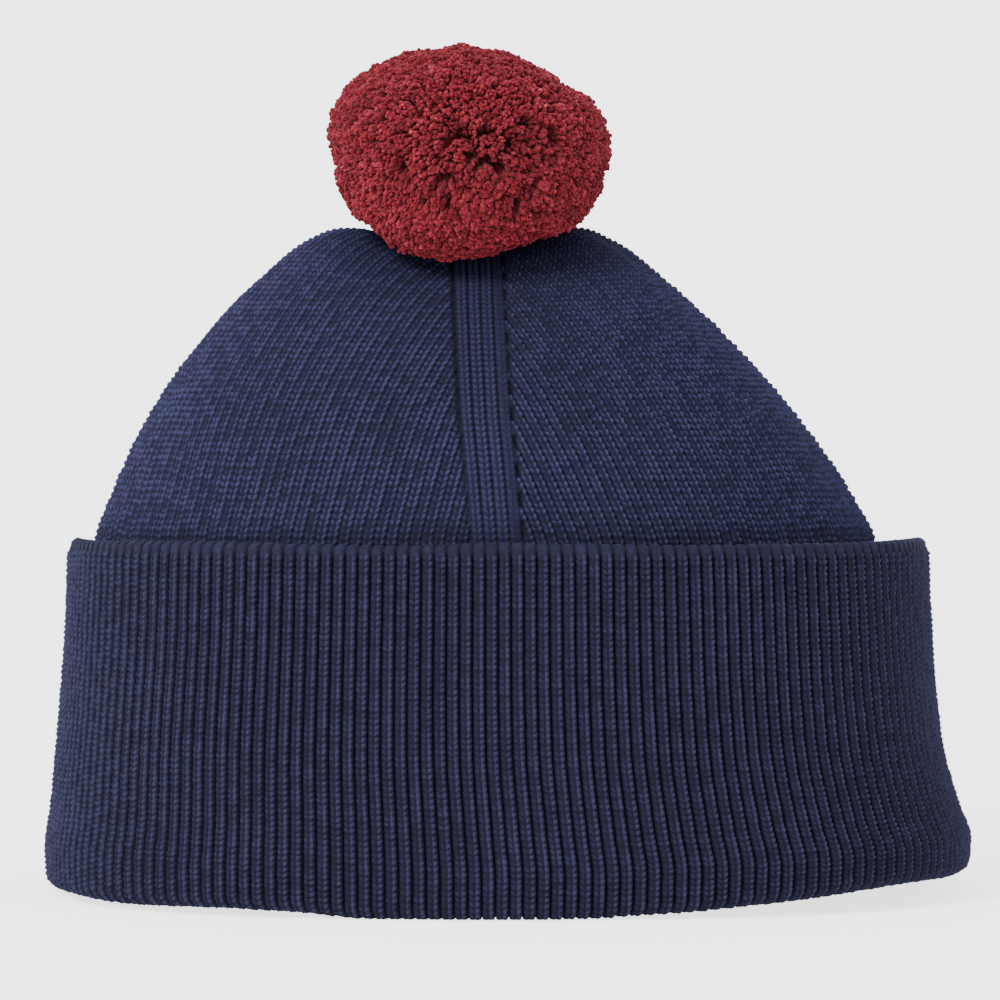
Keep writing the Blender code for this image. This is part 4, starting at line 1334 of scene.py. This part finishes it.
def build_inside_knot():
    """A trefoil knot below the top, with two short ends."""
    centre, size = TIE + np.array([0, 0, -7.4]), 1.3
    q = np.linspace(0, 2 * math.pi, 90, endpoint=False)
    trefoil = [np.sin(q) + 2 * np.sin(2 * q), np.cos(q) - 2 * np.cos(2 * q), -1.3 * np.sin(3 * q)]
    strands = [plied(centre + np.stack(trefoil, -1) * size, 0.85, lay=2.8, closed=True)]
    t = np.linspace(0, 1, 16)[:, None]
    for x, y in ((1, 0.4), (-1, -0.5)):
        start = centre + np.array([x * 2.2, y * 2.2, -0.6])
        path = start + t * np.array([x * 3.2, y * 2.4, -1.0]) + t**2 * np.array([0, 0, -4.6])
        strands.append(plied(path, 0.75, lay=2.6))
    knot = yarn_object("tie_knot", strands, TIE_WOOL)
    attach([knot], "inside_knot", rides="crown")


def build_loop():
    """The square-shouldered loop that stands on the crown."""
    half, corner = 2.7, 1.5
    shoulder = LOOP_TOP - corner
    feet = (-1.0, 0.6, shoulder)
    turn = np.linspace(0.35, math.pi / 2, 6)
    inset = [half - corner * (1 - math.cos(a)) for a in turn]
    rise = [shoulder + corner * math.sin(a) for a in turn]
    path = [on_tie(z, -half) for z in feet]
    path += [on_tie(z, -x) for z, x in zip(rise, inset)]
    path += [on_tie(z, x) for z, x in zip(rise[::-1], inset[::-1])]
    path += [on_tie(z, half) for z in feet[::-1]]
    loop = yarn_object("tie_loop_yarn", [plied(path, 0.8, lay=2.6)], TIE_WOOL)
    attach([loop], "attachment_loop", rides="tie_loop")


def build_binding():
    """The tails that pass through the loop, and the cord wound four times round the bundle."""
    half = 2.1
    legs = np.linspace(REACH - 3.0, LOOP_TOP + 1.0, 8)
    path = [on_tie(z, cross=-half) for z in legs]
    for a in np.linspace(0, math.pi, 12):
        path.append(on_tie(LOOP_TOP - half * math.sin(a), cross=-half * math.cos(a)))
    path += [on_tie(z, cross=half) for z in legs[::-1]]
    tails = yarn_object("binding_tail_yarn", [plied(path, 0.88, lay=2.8)], TIE_WOOL)
    attach([tails], "binding_tails", rides="pompom")

    q = np.linspace(0, 8 * math.pi, 260)[:, None]
    coil = CORE + (4.9 + 0.12 * np.sin(5 * q)) * (np.cos(q) * TIE_SIDE + np.sin(q) * TIE_CROSS)
    coil = coil + TIE_AXIS * np.linspace(-1.35, 1.35, 260)[:, None]
    strand = plied(coil, 0.50, lay=2.4, plies=2, sides=5)
    cord = yarn_object("binding_cord", [strand], TIE_WOOL)
    attach([cord], "centre_binding", rides="pompom")


# ------------------------------------------------------------------ the label
def build_label():
    """A blank woven strip with turned-in sides and foot, hanging with a slight wave."""
    width, drop, thickness = 24.0, 32.0, 0.42
    columns, rows = 48, 64
    x, z = np.meshgrid(np.linspace(-width / 2, width / 2, columns), np.linspace(0, -drop, rows))
    from_side = width / 2 - np.abs(x)
    # the turned-in margins are double
    side_fold = 1 - smoothstep(0.0, 0.5, np.minimum(from_side - 1.9, 0) + 0.5)
    foot_fold = smoothstep(-drop + 3.6, -drop + 3.1, z)
    extra = 0.20 * np.maximum(side_fold, foot_fold)
    free = (-z / drop) ** 1.5
    wave = -free * (0.55 * np.sin(x / width * 3.6 + 0.5) + 0.35 * np.sin(z / 5.2) + 0.25)
    weft = 0.025 * np.sin(2 * math.pi * z / 1.0)
    edge = np.minimum(smoothstep(0, 0.5, from_side), smoothstep(0, 0.5, drop + z))
    sewn = 0.35 + 0.65 * smoothstep(0.0, 0.9, -z)              # thin where it is sewn on
    thick = thickness * (0.25 + 0.75 * edge) * sewn
    front = np.stack([x, wave - thick / 2 + weft * edge, z], -1)
    back = np.stack([x, wave + thick / 2 + extra * edge * 0.8 * sewn, z], -1)
    vertices = np.vstack([front.reshape(-1, 3), back.reshape(-1, 3)])
    vertices = vertices + LABEL_TOP - (0, 0.08, 0)
    ids = np.arange(x.size).reshape(rows, columns)
    quads = grid_quads(ids)
    faces = [quads[:, FLIP], quads + x.size]
    rims = (
        (ids[0, :-1], ids[0, 1:]),
        (ids[-1, 1:], ids[-1, :-1]),
        (ids[1:, 0], ids[:-1, 0]),
        (ids[:-1, -1], ids[1:, -1]),
    )
    for near, far in rims:
        faces.append(np.stack([near, far, far + x.size, near + x.size], -1))
    material = label_material()
    label = bpy_label = mesh_object(
        "care_label_woven", vertices, np.vstack(faces), material, None)
    attach([label], "care_label", rides="label")


def build_label_stitches():
    """Short bars of thread over the label's top edge into the crown, joined behind."""
    count, pitch, bar = 9, 2.3, 1.7
    y_in = LABEL_TOP[1] - 0.55
    points, _ = crown_surface(np.array([8.0]), np.array([[0.5]]))
    y_out = points[0, 0, 1] - 3.0 - 0.9
    t, u = np.linspace(0, 1, 14), np.linspace(0, 1, 8)
    strands = []
    for k in range(count):
        x = LABEL_TOP[0] - 10.2 + k * pitch
        y = y_in + (y_out - y_in) * smoothstep(0.30, 0.92, t)
        z = LABEL_TOP[2] + 0.52 + 0.60 * np.sin(math.pi * t) ** 0.8 - 0.1 * t
        paths = [np.stack([x + bar * t, y, z], -1)]
        if k < count - 1:     # the thread goes on to the next stitch
            y = y_out - 0.2 * np.sin(math.pi * u)
            z = LABEL_TOP[2] + 0.42 + 0.1 * u
            paths.append(np.stack([x + bar + (pitch - bar) * u, y, z], -1))
        strands += [plied(path, 0.27, lay=1.2, plies=2, sides=5) for path in paths]
    stitches = yarn_object("label_stitching", strands, THREAD)
    attach([stitches], "label_stitches", rides="crown")


build_rib_seams()
build_crown_seams()
build_gathering_yarn()
build_inside_knot()
build_loop()
build_binding()
build_label()
build_label_stitches()


# ------------------------------------------------------------------ floor, light, camera (metres)
def build_floor():
    """A flat floor that curves up into a wall behind the hat."""
    wall_start, radius, half_width = 0.9, 0.8, 5.0
    profile = [(-3.0, 0.0), (wall_start, 0.0)]
    for q in np.linspace(0.05, math.pi / 2, 14):
        profile.append((wall_start + radius * math.sin(q), radius - radius * math.cos(q)))
    profile.append((wall_start + radius, 4.0))
    vertices = [(x, y, z) for y, z in profile for x in (-half_width, half_width)]
    faces = [(2 * i, 2 * i + 1, 2 * i + 3, 2 * i + 2) for i in range(len(profile) - 1)]
    mesh = bpy.data.meshes.new("floor")
    mesh.from_pydata(vertices, [], faces)
    place_mesh("floor", mesh, floor_material())


def aim(obj, place, target):
    obj.location = place
    obj.rotation_euler = (Vector(target) - obj.location).to_track_quat("-Z", "Y").to_euler()
    bpy.context.scene.collection.objects.link(obj)


def area_light(name, place, size, power, colour):
    data = bpy.data.lights.new(name, "AREA")
    data.shape = "DISK"
    data.size = size
    data.energy = power
    data.color = colour
    aim(bpy.data.objects.new(name, data), place, (0, 0, 0.1))


def build_world():
    world = bpy.data.worlds.new("world")
    world.use_nodes = True
    background = world.node_tree.nodes["Background"]
    background.inputs["Color"].default_value = (0.95, 0.97, 1.0, 1)
    strength = camera_boost(world.node_tree, boost=2.0, base=1.25)
    world.node_tree.links.new(strength, background.inputs["Strength"])
    bpy.context.scene.world = world


def build_camera():
    elevation, distance, view_width = math.radians(1.0), 1.2, 0.25
    target = Vector((-0.00175, 0.0, 0.0968))
    data = bpy.data.cameras.new("camera")
    data.sensor_width = 36.0
    data.lens = 36.0 * distance / view_width
    camera = bpy.data.objects.new("camera", data)
    away = Vector((0, -math.cos(elevation), math.sin(elevation)))
    aim(camera, target + away * distance, target)
    bpy.context.scene.camera = camera


build_floor()
area_light("key", place=(-1.05, -1.2, 1.25), size=0.8, power=38.0, colour=(1.0, 0.99, 0.97))
area_light("fill", place=(1.3, -1.1, 0.6), size=1.2, power=3.0, colour=(1.0, 1.0, 1.0))
build_world()
build_camera()
